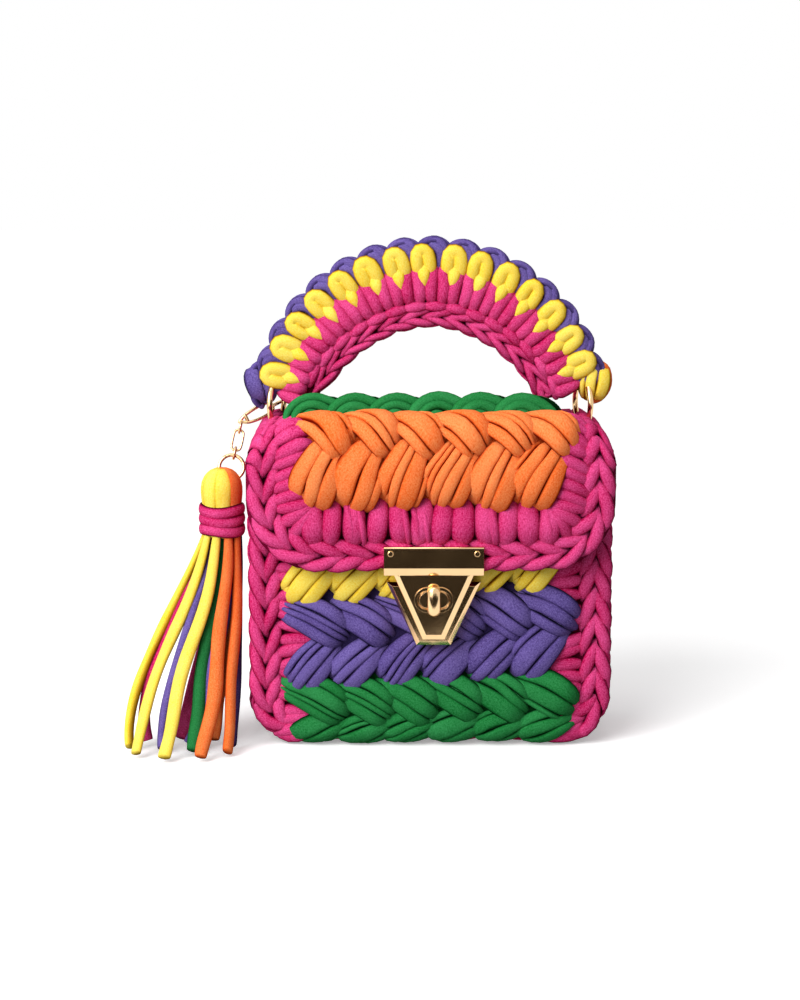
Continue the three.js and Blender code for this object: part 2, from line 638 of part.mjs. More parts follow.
// Strands fan out from the neck to tips laid on the ground in front and to the left
const strandRadius = STRAND_DIAMETER / 2;
const outerCircle = STRAND_DIAMETER * 1.63;
const innerCircle = STRAND_DIAMETER * 0.6;
const TIP_REACH = STRAND_DIAMETER * 6.02;
const tipCentre = new THREE.Vector2(-sideFace - TIP_REACH, tasselY - 49);
const TIP_SPREAD = new THREE.Vector2(3.0, 2.2);
const strandSection = new THREE.Shape();
for (let i = 0; i < 8; i += 1) {
  const turn = (i / 8) * Math.PI * 2;
  const corner = new THREE.Vector2(strandRadius * Math.cos(turn), strandRadius * Math.sin(turn));
  if (i === 0) strandSection.moveTo(corner.x, corner.y);
  else strandSection.lineTo(corner.x, corner.y);
}
strandSection.closePath();
function strand(circle, turn) {
  const sideways = new THREE.Vector2(circle * Math.cos(turn), circle * Math.sin(turn));
  const startZ = bandLow - GAP - 0.2;
  const tipZ = strandRadius * 1.12;
  const drop = startZ - tipZ;
  const start = new THREE.Vector3(tasselX + sideways.x, tasselY + sideways.y, startZ);
  const tipSpot = sideways.clone().multiply(TIP_SPREAD).add(tipCentre);
  const tip = new THREE.Vector3(tipSpot.x, tipSpot.y, tipZ);
  const travel = tip.clone().sub(start).setZ(0);
  const leave = start.clone().addScaledVector(travel, 0.02).setZ(startZ - drop * 0.42);
  const arrive = tip.clone().addScaledVector(travel, -0.3).setZ(tipZ + drop * 0.16);
  const line = new THREE.CubicBezierCurve3(start, leave, arrive, tip);
  return new THREE.ExtrudeGeometry(strandSection, { steps: STRAND_STEPS, bevelEnabled: false, extrudePath: line });
}
OUTER_STRANDS.forEach((colour, index) => {
  const turn = THREE.MathUtils.degToRad(175 + index * 40);
  addPiece(`strand_outer_${index + 1}_${colour}`, strand(outerCircle, turn), yarn[colour]);
});
INNER_STRANDS.forEach((colour, index) => {
  const turn = THREE.MathUtils.degToRad(190 + index * 120);
  addPiece(`strand_inner_${index + 1}_${colour}`, strand(innerCircle, turn), yarn[colour]);
});

export default bag;
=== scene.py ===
# %% [markdown]
# A small handbag crocheted in thick T-shirt yarn. The real bag is nothing but loops of one
# soft, rolled cotton strip, with a gold turn lock, two rings and a tassel. A grey block with a
# knitted picture on it would look flat from the side, so every stitch here is a real strand.
# The first cell loads the CAD frame, which says where each piece is and what it moves with.

# %% Load the frame
import math

import bpy
import numpy as np
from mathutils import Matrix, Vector


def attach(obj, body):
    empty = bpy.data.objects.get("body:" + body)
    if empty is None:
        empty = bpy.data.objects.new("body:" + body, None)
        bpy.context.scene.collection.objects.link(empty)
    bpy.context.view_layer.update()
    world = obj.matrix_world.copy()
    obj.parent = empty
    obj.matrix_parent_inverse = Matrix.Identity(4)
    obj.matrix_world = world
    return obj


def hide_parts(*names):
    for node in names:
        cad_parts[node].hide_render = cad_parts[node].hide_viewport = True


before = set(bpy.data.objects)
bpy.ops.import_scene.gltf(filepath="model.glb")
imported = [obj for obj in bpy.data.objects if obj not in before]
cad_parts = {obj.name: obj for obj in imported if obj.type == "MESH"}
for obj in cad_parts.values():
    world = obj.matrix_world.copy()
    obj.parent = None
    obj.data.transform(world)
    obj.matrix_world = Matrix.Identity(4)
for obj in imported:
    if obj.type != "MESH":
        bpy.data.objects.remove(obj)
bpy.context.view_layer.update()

MM = 0.001
random = np.random.default_rng(7)

# %% [markdown]
# The camera stands in front of the bag and a little above it, with a short telephoto lens, so
# the sides hardly show and the top of the flap is just seen. It comes first because the free
# strands of the tassel are judged by what the camera sees.

# %% Camera
CAMERA_TARGET = Vector((-15.4, 0.0, 121.3)) * MM
CAMERA_DISTANCE = 1227.7 * MM
CAMERA_ELEVATION = math.radians(9)
LENS = 85
SENSOR_WIDTH = 36
camera = bpy.data.objects.new("camera", bpy.data.cameras.new("camera"))
bpy.context.scene.collection.objects.link(camera)
camera.data.lens = LENS
camera.data.sensor_width = SENSOR_WIDTH
view_back = Vector((0, -math.cos(CAMERA_ELEVATION), math.sin(CAMERA_ELEVATION)))
camera.location = CAMERA_TARGET + view_back * CAMERA_DISTANCE
camera.rotation_euler = (-view_back).to_track_quat("-Z", "Y").to_euler()
bpy.context.scene.camera = camera
bpy.context.scene.view_settings.view_transform = "Standard"
print("camera at", [round(c, 3) for c in camera.location])


# %% [markdown]
# Finishes are node trees. Writing them link by link hides the idea, so one small class wraps a
# socket: sums and products of wires add Math nodes, and `add` makes any other node from its
# type, its settings and what goes into its sockets.

# %% A wire that takes part in expressions
class Wire:
    def __init__(self, tree, socket=None):
        self.tree = tree
        self.socket = socket

    def add(self, kind, settings=None, inputs=None, output=0):
        node = self.tree.nodes.new(kind)
        for name, value in (settings or {}).items():
            setattr(node, name, value)
        for name, value in (inputs or {}).items():
            self.feed(node.inputs[name], value)
        return Wire(self.tree, node.outputs[output])

    def feed(self, target, value):
        if isinstance(value, Wire):
            self.tree.links.new(value.socket, target)
        else:
            target.default_value = value

    def maths(self, operation, left, right):
        return self.add("ShaderNodeMath", {"operation": operation}, {0: left, 1: right})

    def __add__(self, other):
        return self.maths("ADD", self, other)

    def __sub__(self, other):
        return self.maths("SUBTRACT", self, other)

    def __mul__(self, other):
        return self.maths("MULTIPLY", self, other)

    def stretched(self, amounts):
        scale = {"operation": "MULTIPLY"}
        return self.add("ShaderNodeVectorMath", scale, {0: self, 1: amounts})

    def mixed(self, low, high):
        colour = {"data_type": "RGBA", "clamp_factor": True}
        return self.add("ShaderNodeMix", colour, {0: self, 6: low, 7: high}, 2)


def new_finish(name):
    """A material with its surface node, and a wire to build on."""
    material = bpy.data.materials.new(name)
    material.use_nodes = True
    surface = material.node_tree.nodes["Principled BSDF"]
    return material, surface, Wire(material.node_tree)


def linear(red, green, blue):
    """A screen colour, 0 to 255, as the linear colour that a shader takes."""
    shares = [channel / 255 for channel in (red, green, blue)]
    curve = [s / 12.92 if s <= 0.04045 else ((s + 0.055) / 1.055) ** 2.4 for s in shares]
    return (*curve, 1.0)


# %% [markdown]
# T-shirt yarn is a strip cut from cotton jersey that rolls into a soft cord. Close up it shows
# fine knitted ribs along the cord and a fuzzy skin. Light and shade are painted into its colour as
# well: the top of each strand is painted lighter, as a painted highlight, and its sides, its
# underside and the fabric seen between strands are painted a darker, deeper colour, as painted
# shade in the grooves. The pattern follows each strand, so it reads the strand's own UV map,
# measured in centimetres along and around, and two attributes: `tone` differs from strand to
# strand, and `crest` is 1 on top of a strand and falls towards -1 under it.

# %% Yarn finishes
# How strongly the crest drives the painted highlight on top of each strand and the painted shade down its
# sides.
LIGHT_FROM_CREST = 0.75
LIGHT_FROM_TONE = 0.11
LIGHT_LEVEL = 0.33
GROOVE_SHADE_GAIN = 2.3
GROOVE_SHADE_LEVEL = 0.7
YARN_ROUGHNESS = 0.82
YARN_SHEEN = 0.03


def yarn_finish(name, groove_shade, body, light):
    material, surface, wire = new_finish(name)
    along = wire.add("ShaderNodeUVMap", {"uv_map": "strand"})
    noise = "ShaderNodeTexNoise"
    heather = wire.add(noise, None, {"Vector": along.stretched((3, 9, 1)), "Scale": 2.4, "Detail": 4})
    cloudy = wire.add(noise, None, {"Vector": along, "Scale": 0.9, "Detail": 2})
    ribs = wire.add(noise, None, {"Vector": along.stretched((2, 26, 1)), "Scale": 1.6, "Detail": 3})
    fuzz = wire.add(noise, None, {"Vector": along, "Scale": 15.0, "Detail": 5})
    tone = wire.add("ShaderNodeAttribute", {"attribute_name": "tone"}, None, 2)
    crest = wire.add("ShaderNodeAttribute", {"attribute_name": "crest"}, None, 2)
    speck = (heather - 0.5) + (fuzz - 0.5) * 1.3 + (cloudy - 0.5) * 0.5
    # Painted highlight: where the crest is high, the top of a strand is mixed towards the light colour;
    # tone and speck add the yarn's real heathered variation.
    highlight_and_heather = crest * LIGHT_FROM_CREST + tone * LIGHT_FROM_TONE + speck - LIGHT_LEVEL
    # Painted shade: where the crest is low, on the sides and undersides of strands and on the slab between
    # them, the colour is mixed towards the dark colour of the grooves.
    groove_shade_mix = crest * GROOVE_SHADE_GAIN - GROOVE_SHADE_LEVEL
    bright = highlight_and_heather.mixed(body, light)
    colour = groove_shade_mix.mixed(groove_shade, bright)
    wire.feed(surface.inputs["Base Color"], colour)
    relief = ribs * 0.6 + fuzz * 0.5
    bump = wire.add("ShaderNodeBump", None, {"Height": relief, "Strength": 0.5, "Distance": 0.0008})
    wire.feed(surface.inputs["Normal"], bump)
    wire.feed(surface.inputs["Roughness"], fuzz * 0.12 + YARN_ROUGHNESS)
    surface.inputs["Specular IOR Level"].default_value = YARN_SHEEN
    return material


# Each yarn has three colours: a dark one painted into the grooves as shade, its own colour, and a light
# one painted on the tops as highlight, mixed with heather.
YARN = {
    "magenta": yarn_finish("magenta yarn", linear(60, 0, 18), linear(180, 10, 75), linear(247, 98, 167)),
    "orange": yarn_finish("orange yarn", linear(120, 18, 0), linear(236, 98, 34), linear(255, 160, 98)),
    "purple": yarn_finish("purple yarn", linear(14, 10, 32), linear(74, 58, 118), linear(132, 114, 188)),
    "green": yarn_finish("green yarn", linear(0, 34, 8), linear(20, 104, 44), linear(58, 150, 86)),
    "yellow": yarn_finish("yellow yarn", linear(140, 86, 2), linear(246, 204, 46), linear(255, 240, 124)),
}
print("yarn finishes:", ", ".join(YARN))

# %% [markdown]
# The strands are copies of four forms, each modelled once: a tube of a few hundred faces, closed
# at both ends. Subdividing its long edges gives it rings, so a copy can be bent along any route
# and be fat in the middle and thin at the tips, as a pulled loop of yarn is. The forms differ in
# their number of faces, and in how square their section is.

# %% Strands to copy
EVEN_RINGS = 0.45


def deselect_all():
    if bpy.context.object and bpy.context.object.mode != "OBJECT":
        bpy.ops.object.mode_set(mode="OBJECT")
    bpy.ops.object.select_all(action="DESELECT")


def read_points(mesh):
    place = np.zeros(len(mesh.vertices) * 3)
    mesh.vertices.foreach_get("co", place)
    return place.reshape(-1, 3)


def read_faces(mesh):
    """The corners of all faces, as point numbers, and the first corner of each face."""
    corners = np.zeros(len(mesh.loops), np.int32)
    mesh.loops.foreach_get("vertex_index", corners)
    starts = np.zeros(len(mesh.polygons), np.int32)
    mesh.polygons.foreach_get("loop_start", starts)
    return corners, starts


class Form:
    """The points, faces and corner places of one modelled tube, ready to be bent."""

    def __init__(self, sides, rings, fullness=1.0):
        deselect_all()
        bpy.ops.mesh.primitive_cylinder_add(
            vertices=sides, radius=1, depth=1, end_fill_type="TRIFAN", location=(0, 0, 0.5)
        )
        tube = bpy.context.object
        bpy.ops.object.transform_apply(location=True)
        bpy.ops.object.mode_set(mode="EDIT")
        bpy.ops.mesh.select_mode(type="EDGE")
        bpy.ops.mesh.select_all(action="DESELECT")
        bpy.ops.object.mode_set(mode="OBJECT")
        points = tube.data.vertices
        for edge in tube.data.edges:
            ends = [points[v].co.z for v in edge.vertices]
            edge.select = abs(ends[0] - ends[1]) > 0.5
        bpy.ops.object.mode_set(mode="EDIT")
        bpy.ops.mesh.subdivide(number_cuts=rings - 1)
        bpy.ops.object.mode_set(mode="OBJECT")
        self.read(tube.data, fullness)
        bpy.data.objects.remove(tube)

    def read(self, mesh, fullness):
        place = read_points(mesh)
        # Rings are drawn together towards the tips, where the strand turns in.
        drawn = 0.5 - 0.5 * np.cos(np.pi * place[:, 2])
        self.share = EVEN_RINGS * place[:, 2] + (1 - EVEN_RINGS) * drawn
        # A fullness below 1 squares the round section, as yarn pressed against its neighbours.
        self.across = np.sign(place[:, 0]) * np.abs(place[:, 0]) ** fullness
        self.up = np.sign(place[:, 1]) * np.abs(place[:, 1]) ** fullness
        self.corners, self.starts = read_faces(mesh)
        turn = np.arctan2(self.up, self.across) / math.tau
        self.corner_turn = turn[self.corners]
        ends = np.append(self.starts[1:], len(self.corners))
        for first, last in zip(self.starts, ends):
            face = self.corner_turn[first:last]
            middle = np.hypot(self.across, self.up)[self.corners[first:last]] < 0.01
            if face[~middle].max() - face[~middle].min() > 0.5:
                face[face < 0] += 1
            face[middle] = face[~middle].mean()


STITCH = Form(sides=14, rings=18, fullness=0.86)
PRESSED = Form(sides=16, rings=12, fullness=0.62)
LEG = Form(sides=12, rings=9, fullness=0.86)
CORD = Form(sides=12, rings=44)
print("a stitch has", len(STITCH.starts), "faces, a chain leg", len(LEG.starts))


# %% [markdown]
# A skein collects strands of one colour and is wound off as one mesh. Each strand is given by
# a few control points, half-widths and half-heights, and a smooth line goes through them. The
# points may be in flat coordinates of a piece of fabric (across, along, out), in which case a
# `space` function lays them onto the bag.

# %% Skein
def smooth(controls, share):
    """A smooth line through evenly spaced controls, read at shares from 0 to 1."""
    controls = np.asarray(controls, float)
    spans = len(controls) - 1
    place = np.clip(share, 0, 1) * spans
    first = np.minimum(place.astype(int), spans - 1)
    part = (place - first).reshape(-1, *[1] * (controls.ndim - 1))
    before = controls[np.maximum(first - 1, 0)]
    near, far = controls[first], controls[first + 1]
    after = controls[np.minimum(first + 2, spans)]
    bend = 2 * before - 5 * near + 4 * far - after
    twist = 3 * near - before - 3 * far + after
    return near + 0.5 * (part * (far - before) + part**2 * bend + part**3 * twist)


def unit(vectors):
    return vectors / np.maximum(np.linalg.norm(vectors, axis=-1, keepdims=True), 1e-9)


# Painted shade: OUTER_SHADE darkens the outer side of a bundle's edge strands. The slab under the stitches
# is given a low crest, so it is painted mostly in the dark colour of the grooves.
OUTER_SHADE = 0.5
SLAB_SHADE_CREST = 0.45


class Skein:
    def __init__(self, name, colour):
        self.name = name
        self.colour = colour
        self.points, self.corners, self.starts = [], [], []
        self.maps, self.tones, self.crests = [], [], []
        self.point_count = self.corner_count = 0

    def keep(self, points, corners, starts, maps, tone, crest):
        self.points.append(points)
        self.corners.append(corners + self.point_count)
        self.starts.append(starts + self.corner_count)
        self.maps.append(maps)
        self.tones.append(np.full(len(points), tone))
        self.crests.append(crest)
        self.point_count += len(points)
        self.corner_count += len(corners)

    def strand(
        self, points, wide, high, space=None, side=None, form=STITCH,
        tip=0.3, around=None, crease=1.0, outer=(),
    ):
        """Bends a copy of the form along the points. Its crest faces up, or away from around.

        Crease says how much the sides of the strand are painted darker, as painted shade, from 0 for a
        free strand to 1.
        Outer names the sides, -1 or 1, that are the outside of a bundle; these are painted darker still,
        as painted shade between bundles.
        """
        points = np.asarray(points, float)
        share = form.share
        spine = smooth(points, share)
        travel = unit(smooth(points, share + 0.01) - smooth(points, share - 0.01))
        if side is None:
            across = unit(np.cross((0, 0, 1), travel))
        else:
            side = np.asarray(side, float)
            across = unit(side - travel * (travel @ side)[:, None])
        rise = np.cross(travel, across)
        outward = rise[:, 2] if around is None else ((spine - around) * rise).sum(axis=1)
        if outward.mean() < 0:
            across, rise = -across, -rise
        closing = tip + (1 - tip) * np.sqrt(np.clip(1 - (2 * share - 1) ** 6, 0, 1))
        half_wide = smooth(wide, share) if np.ndim(wide) else wide
        half_high = smooth(high, share) if np.ndim(high) else high
        body = spine + across * (half_wide * closing * form.across)[:, None]
        body = body + rise * (half_high * closing * form.up)[:, None]
        length = np.linalg.norm(np.diff(points, axis=0), axis=1).sum() / 10
        girth = math.tau * float(np.mean(half_wide) + np.mean(half_high)) / 20
        begin = random.uniform(0, 40, 2)
        maps = np.column_stack([
            begin[0] + share[form.corners] * length,
            begin[1] + form.corner_turn * girth,
        ])
        tone = random.uniform(-1, 1)
        # Painted shade: the crest falls down the sides by crease, and further on the outer sides of a
        # bundle, so these are painted darker.
        crest = 1 - crease * (1 - form.up)
        for outside in outer:
            crest = crest - OUTER_SHADE * np.clip(outside * form.across, 0, 1) ** 2
        laid = space(body) if space else body
        self.keep(laid, form.corners, form.starts, maps, tone, crest)

    def slab(self, space, half_width, along, out, steps=24):
        """A plain layer of fabric under the stitches, from one height to another."""
        deselect_all()
        bpy.ops.mesh.primitive_cube_add(size=2)
        block = bpy.context.object
        bpy.ops.object.mode_set(mode="EDIT")
        bpy.ops.mesh.subdivide(number_cuts=steps)
        bpy.ops.object.mode_set(mode="OBJECT")
        place = read_points(block.data)
        corners, starts = read_faces(block.data)
        up = along[0] + (along[1] - along[0]) * (place[:, 1] + 1) / 2
        half = half_width(up) if callable(half_width) else np.full(len(up), half_width)
        soft = (1 - place[:, 0] ** 8) * (1 - place[:, 1] ** 8)
        height = out[0] + (out[1] - out[0]) * (0.5 + 0.5 * place[:, 2] * (0.4 + 0.6 * soft))
        flat = np.column_stack([place[:, 0] * half, up, height])
        maps = flat[corners][:, :2] / 10
        # Painted shade: the slab is painted mostly in the dark colour of the grooves.
        self.keep(space(flat), corners, starts, maps, 0.0, np.full(len(flat), SLAB_SHADE_CREST))
        bpy.data.objects.remove(block)

    def wind_off(self, body, *nodes, slot=None):
        """Makes the mesh of all the strands, and lets it ride on its body."""
        mesh = bpy.data.meshes.new(self.name)
        points = np.concatenate(self.points) * MM
        corners = np.concatenate(self.corners)
        starts = np.concatenate(self.starts)
        mesh.vertices.add(len(points))
        mesh.vertices.foreach_set("co", points.astype(np.float32).ravel())
        mesh.loops.add(len(corners))
        mesh.loops.foreach_set("vertex_index", corners.astype(np.int32))
        mesh.polygons.add(len(starts))
        mesh.polygons.foreach_set("loop_start", starts.astype(np.int32))
        mesh.update(calc_edges=True)
        layer = mesh.uv_layers.new(name="strand")
        layer.data.foreach_set("uv", np.concatenate(self.maps).astype(np.float32).ravel())
        for name, values in (("tone", self.tones), ("crest", self.crests)):
            attribute = mesh.attributes.new(name, "FLOAT", "POINT")
            attribute.data.foreach_set("value", np.concatenate(values).astype(np.float32))
        mesh.polygons.foreach_set("use_smooth", np.ones(len(starts), bool))
        mesh.materials.append(YARN[self.colour])
        piece = bpy.data.objects.new(self.name, mesh)
        bpy.context.scene.collection.objects.link(piece)
        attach(piece, body)
        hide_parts(*nodes)
        print(self.name, "has", len(self.points), "strands,", len(starts), "faces")
        return piece


# %% [markdown]
# The tassel's strands are cut ends of the same yarn, let down from the wound band to the
# ground. They hang free, and each is bent from the long cord form. Each keeps to the cubic curve
# that its solid follows in the frame, down from the neck and then out over the ground, with a
# little sway. Seven of them also bow out of that curve, so that the colours show between each other.

# %% Tassel strands
TASSEL_AXIS = np.array((-107.75, -3.85))
STRAND_DIAMETER = 5.4
STRAND_START_Z = 104.0
STRAND_TIP_Z = STRAND_DIAMETER / 2 * 1.12
STRAND_SWAY = 1.6
STRAND_FLATNESS = 0.68
STRAND_GIRTH = STRAND_DIAMETER / 2 * np.array((0.98, 1.16, 1.36, 1.45, 1.42, 1.46, 1.4, 1.38, 1.42))
TIP_CENTRE = np.array((-93.5 - STRAND_DIAMETER * 6.02, TASSEL_AXIS[1] - 49))
TIP_SPREAD = np.array((3.0, 2.2))
OUTER_STRANDS = [
    "yellow", "yellow", "yellow", "orange", "orange", "purple", "orange", "magenta", "magenta",
]
INNER_STRANDS = ["purple", "green", "purple"]
# The colours of each circle of strands, its radius, its first angle and the step to the next.
STRAND_CIRCLES = {
    "outer": (OUTER_STRANDS, STRAND_DIAMETER * 1.63, 175, 40),
    "inner": (INNER_STRANDS, STRAND_DIAMETER * 0.6, 190, 120),
}
# How far, in x and y, some strands bow out of their solid's curve at half their length.
STRAND_BOW = {
    "strand_outer_1_yellow": (-14.0, -2.0),
    "strand_outer_2_yellow": (-8.5, -1.0),
    "strand_outer_3_yellow": (-4.5, 0.0),
    "strand_outer_9_magenta": (-13.0, -9.0),
    "strand_inner_1_purple": (-8.5, -6.0),
    "strand_inner_2_green": (-4.0, 0.0),
    "strand_inner_3_purple": (3.0, -8.0),
}


def strand_route(circle, degrees, count):
    turn = math.radians(degrees)
    sideways = circle * np.array((math.cos(turn), math.sin(turn)))
    drop = STRAND_START_Z - STRAND_TIP_Z
    start = np.array((*(TASSEL_AXIS + sideways), STRAND_START_Z))
    tip = np.array((*(TIP_CENTRE + sideways * TIP_SPREAD), STRAND_TIP_Z))
    travel = np.array((*(tip - start)[:2], 0))
    leave = start + 0.02 * travel
    leave[2] = STRAND_START_Z - 0.42 * drop
    arrive = tip - 0.3 * travel
    arrive[2] = STRAND_TIP_Z + 0.16 * drop
    share = np.linspace(0, 1, count)[:, None]
    rest = 1 - share
    return rest**3 * start + 3 * rest**2 * share * leave + 3 * rest * share**2 * arrive + share**3 * tip


def tassel_strand(node, colour, circle, degrees):
    route = strand_route(circle, degrees, 28)
    share = np.linspace(0, 1, len(route))
    facing = np.array((math.cos(math.radians(degrees)), math.sin(math.radians(degrees)), 0.0))
    beside = np.cross(facing, (0, 0, 1))
    sway = np.sin(share * random.uniform(6, 10) + random.uniform(0, 6)) * np.sin(share * math.pi)
    bow = np.array((*STRAND_BOW.get(node, (0.0, 0.0)), 0.0))
    route = route + beside * (STRAND_SWAY * sway)[:, None] + bow * np.sin(share * math.pi)[:, None]
    skein = Skein(f"yarn_{node}", colour)
    girth = STRAND_GIRTH * random.uniform(0.9, 1.03, len(STRAND_GIRTH))
    skein.strand(route, girth, girth * STRAND_FLATNESS, side=beside, form=CORD, tip=0.85, crease=0.3)
    piece = skein.wind_off("tassel", node)
    length = np.linalg.norm(np.diff(strand_route(circle, degrees, 200), axis=0), axis=1).sum()
    route[0] * MM
    route * MM
    return length


strand_lengths = []
for circle, (colours, radius, first, step) in STRAND_CIRCLES.items():
    for index, colour in enumerate(colours):
        node = f"strand_{circle}_{index + 1}_{colour}"
        strand_lengths.append(tassel_strand(node, colour, radius, first + step * index))
print("strand lengths, mm:", [round(length) for length in strand_lengths])

# %% [markdown]
# Fabric spaces. Stitches are worked on a flat piece of fabric, with coordinates along the row,
# up the fabric and out of it. Each space lays those onto one face of the bag: the front and
# the back are planes, the gusset is a U round both sides and the bottom, and the flap goes up
# the front, over the top and down behind, and sinks at the shoulders.

# %% Fabric spaces
FRONT_FACE_Y = -34.3
BACK_FACE_Y = 34.3
SIDE_FACE_X = 93.5
BOTTOM_RADIUS = 24.0
GUSSET_TOP_Z = 150.0
FLAP_FRONT_Y = -51.6
FLAP_BOTTOM_Z = 92.5
FLAP_TOP_Z = 166.0
FLAP_BEND = 14.0
FLAP_HALF = 92.5
FLAP_CORNER = 36.0
SHOULDER_RADIUS = 20.0
GROUND_Z = 0.2
GUSSET_GROUND_Z = 0.1


def front_space(flat):
    return np.column_stack([flat[:, 0], FRONT_FACE_Y - flat[:, 2], np.maximum(flat[:, 1], GROUND_Z)])


def back_space(flat):
    return np.column_stack([-flat[:, 0], BACK_FACE_Y + flat[:, 2], np.maximum(flat[:, 1], GROUND_Z)])


GUSSET_SIDE = GUSSET_TOP_Z - BOTTOM_RADIUS
GUSSET_ARC = BOTTOM_RADIUS * math.pi / 2
GUSSET_BOTTOM = 2 * (SIDE_FACE_X - BOTTOM_RADIUS)
GUSSET_LENGTH = 2 * GUSSET_SIDE + 2 * GUSSET_ARC + GUSSET_BOTTOM


def gusset_space(flat):
    """Across is y, along goes down the left side, over the bottom and up the right side."""
    along, out = flat[:, 1], flat[:, 2]
    inner = SIDE_FACE_X - BOTTOM_RADIUS
    stops = np.cumsum([GUSSET_SIDE, GUSSET_ARC, GUSSET_BOTTOM, GUSSET_ARC])
    first_turn = np.clip((along - stops[0]) / BOTTOM_RADIUS, 0, math.pi / 2)
    second_turn = np.clip((along - stops[2]) / BOTTOM_RADIUS, 0, math.pi / 2)
    turn = first_turn + second_turn
    middle_x = np.where(along < stops[2], along - stops[1] - inner, inner)
    middle_x = np.where(along < stops[1], -inner, middle_x)
    middle_z = np.where(along < stops[0], GUSSET_TOP_Z - along, BOTTOM_RADIUS)
    middle_z = np.where(along > stops[3], BOTTOM_RADIUS + along - stops[3], middle_z)
    reach = BOTTOM_RADIUS + out
    low = np.maximum(middle_z - reach * np.sin(turn), GUSSET_GROUND_Z)
    return np.column_stack([middle_x - reach * np.cos(turn), flat[:, 0], low])


FLAP_RISE = FLAP_TOP_Z - FLAP_BEND - FLAP_BOTTOM_Z
FLAP_ARC = FLAP_BEND * math.pi / 2
FLAP_ROOF = BACK_FACE_Y - FLAP_FRONT_Y - 2 * FLAP_BEND
FLAP_STOPS = np.cumsum([FLAP_RISE, FLAP_ARC, FLAP_ROOF, FLAP_ARC])


def shoulder_drop(across):
    beyond = np.clip(np.abs(across) - (FLAP_HALF - SHOULDER_RADIUS), 0, SHOULDER_RADIUS * 0.98)
    return SHOULDER_RADIUS - np.sqrt(SHOULDER_RADIUS**2 - beyond**2)


def flap_space(flat):
    across, along, out = flat[:, 0], flat[:, 1], flat[:, 2]
    first_turn = np.clip((along - FLAP_STOPS[0]) / FLAP_BEND, 0, math.pi / 2)
    second_turn = np.clip((along - FLAP_STOPS[2]) / FLAP_BEND, 0, math.pi / 2)
    turn = first_turn + second_turn
    roof = np.clip(along - FLAP_STOPS[1], 0, FLAP_ROOF)
    up = np.clip(along, None, FLAP_STOPS[0]) - np.clip(along - FLAP_STOPS[3], 0, None)
    reach = FLAP_BEND + out
    y = FLAP_FRONT_Y + FLAP_BEND + roof - reach * np.cos(turn)
    z = FLAP_BOTTOM_Z + up + reach * np.sin(turn)
    near_top = np.clip((z - FLAP_TOP_Z + SHOULDER_RADIUS) / SHOULDER_RADIUS, 0, 1)
    return np.column_stack([across, y, z - shoulder_drop(across) * near_top])


def flap_half_width(along):
    into_corner = np.clip(FLAP_CORNER - along, 0, FLAP_CORNER)
    return FLAP_HALF - FLAP_CORNER + np.sqrt(FLAP_CORNER**2 - into_corner**2)


print("gusset runs", round(GUSSET_LENGTH), "mm, flap", round(float(FLAP_STOPS[-1])), "mm over the top")


# %% [markdown]
# Four stitches make most of the bag. A petal is a bundle of strands laid side by side, pinched
# at both ends, as a puff stitch is. A roll is one fat strand on its own. A chain is a row of
# leaning legs that meet in V shapes, which is what the edge of any crochet shows. A braid row is
# two leaning rows of petals that meet on a spine, the upper ones lying over the ends of the
# lower ones.

# %% Stitches
PILLOW_EDGE = 0.93
ROUND_START = 0.12
ROUND_STOP = 0.08
CORE_HALF = 0.9
CORE_SINK = 0.4
STRAND_OVERLAP = 1.06
PRESSED_TIP = 0.45
ROLL_GIRTH = np.array((0.62, 0.94, 1.04, 0.98, 0.62))
LEG_HEIGHTS = np.array((-1.2, 1.3, 2.8, 2.7, 1.2, -1.4))
LEG_LANES = (-0.07, 0.03, 0.15, 0.26, 0.33, 0.35)
LEG_GIRTH = np.array((0.4, 0.95, 1.1, 1.0, 0.4))
LEG_SHARE = 0.188


def petal(skein, space, start, finish, width, strands, rise, girth, bow=0.0, crown=5.0, thick=2.6):
    """Lays pressed strands side by side over a round pillow, bowed to the left of the way by bow."""
    start, finish = np.asarray(start, float), np.asarray(finish, float)
    chord = finish - start
    left = np.array((-chord[1], chord[0])) / np.hypot(*chord)
    share = np.linspace(0, 1, 11)
    widths = random.uniform(0.4, 1.7, strands)
    edges = np.concatenate([[0], np.cumsum(widths)]) / widths.sum() * 2 - 1
    drift = random.uniform(-0.24, 0.24) * (2 * share - 1)
    bundle = [((low + high) / 2, low, high, PRESSED) for low, high in zip(edges[:-1], edges[1:])]
    # A soft core under the strands keeps the bundle full where they part.
    bundle.append((0.0, -CORE_HALF, CORE_HALF, STITCH))
    for lane, low, high, form in bundle:
        # The ends of the bundle are round: its outer strands begin later and stop sooner.
        place = share * (1 - (ROUND_START + ROUND_STOP) * lane**2) + ROUND_START * lane**2
        middle = start + chord * place[:, None] + left * (bow * 4 * place * (1 - place))[:, None]
        reach = width / 2 * smooth(girth, place)
        level = math.sqrt(1 - (PILLOW_EDGE * lane) ** 2)
        slope = crown * PILLOW_EDGE**2 * lane / level / reach.max()
        wander = random.uniform(-0.07, 0.07) * np.sin(math.tau * (share + random.uniform(0, 1)))
        line = middle + left * (reach * (lane + (drift + wander) * (1 - lane**2)))[:, None]
        raised = smooth(rise, share) - crown * (1 - level) + random.uniform(-0.25, 0.25)
        if form is STITCH:
            raised = raised - CORE_SINK * (thick + crown)
        half = (high - low) / 2 * reach * math.hypot(1, slope) * STRAND_OVERLAP
        fat = thick * (0.5 + 0.5 * smooth(girth, place))
        # The outer sides of a bundle's edge strands get painted shade, between neighbouring petals.
        outer = [side for side, edge in ((-1, low), (1, high)) if abs(edge) > 0.99]
        points = np.column_stack([line, raised])
        skein.strand(points, half, fat, space, (*left, -slope), form, PRESSED_TIP, outer=outer)


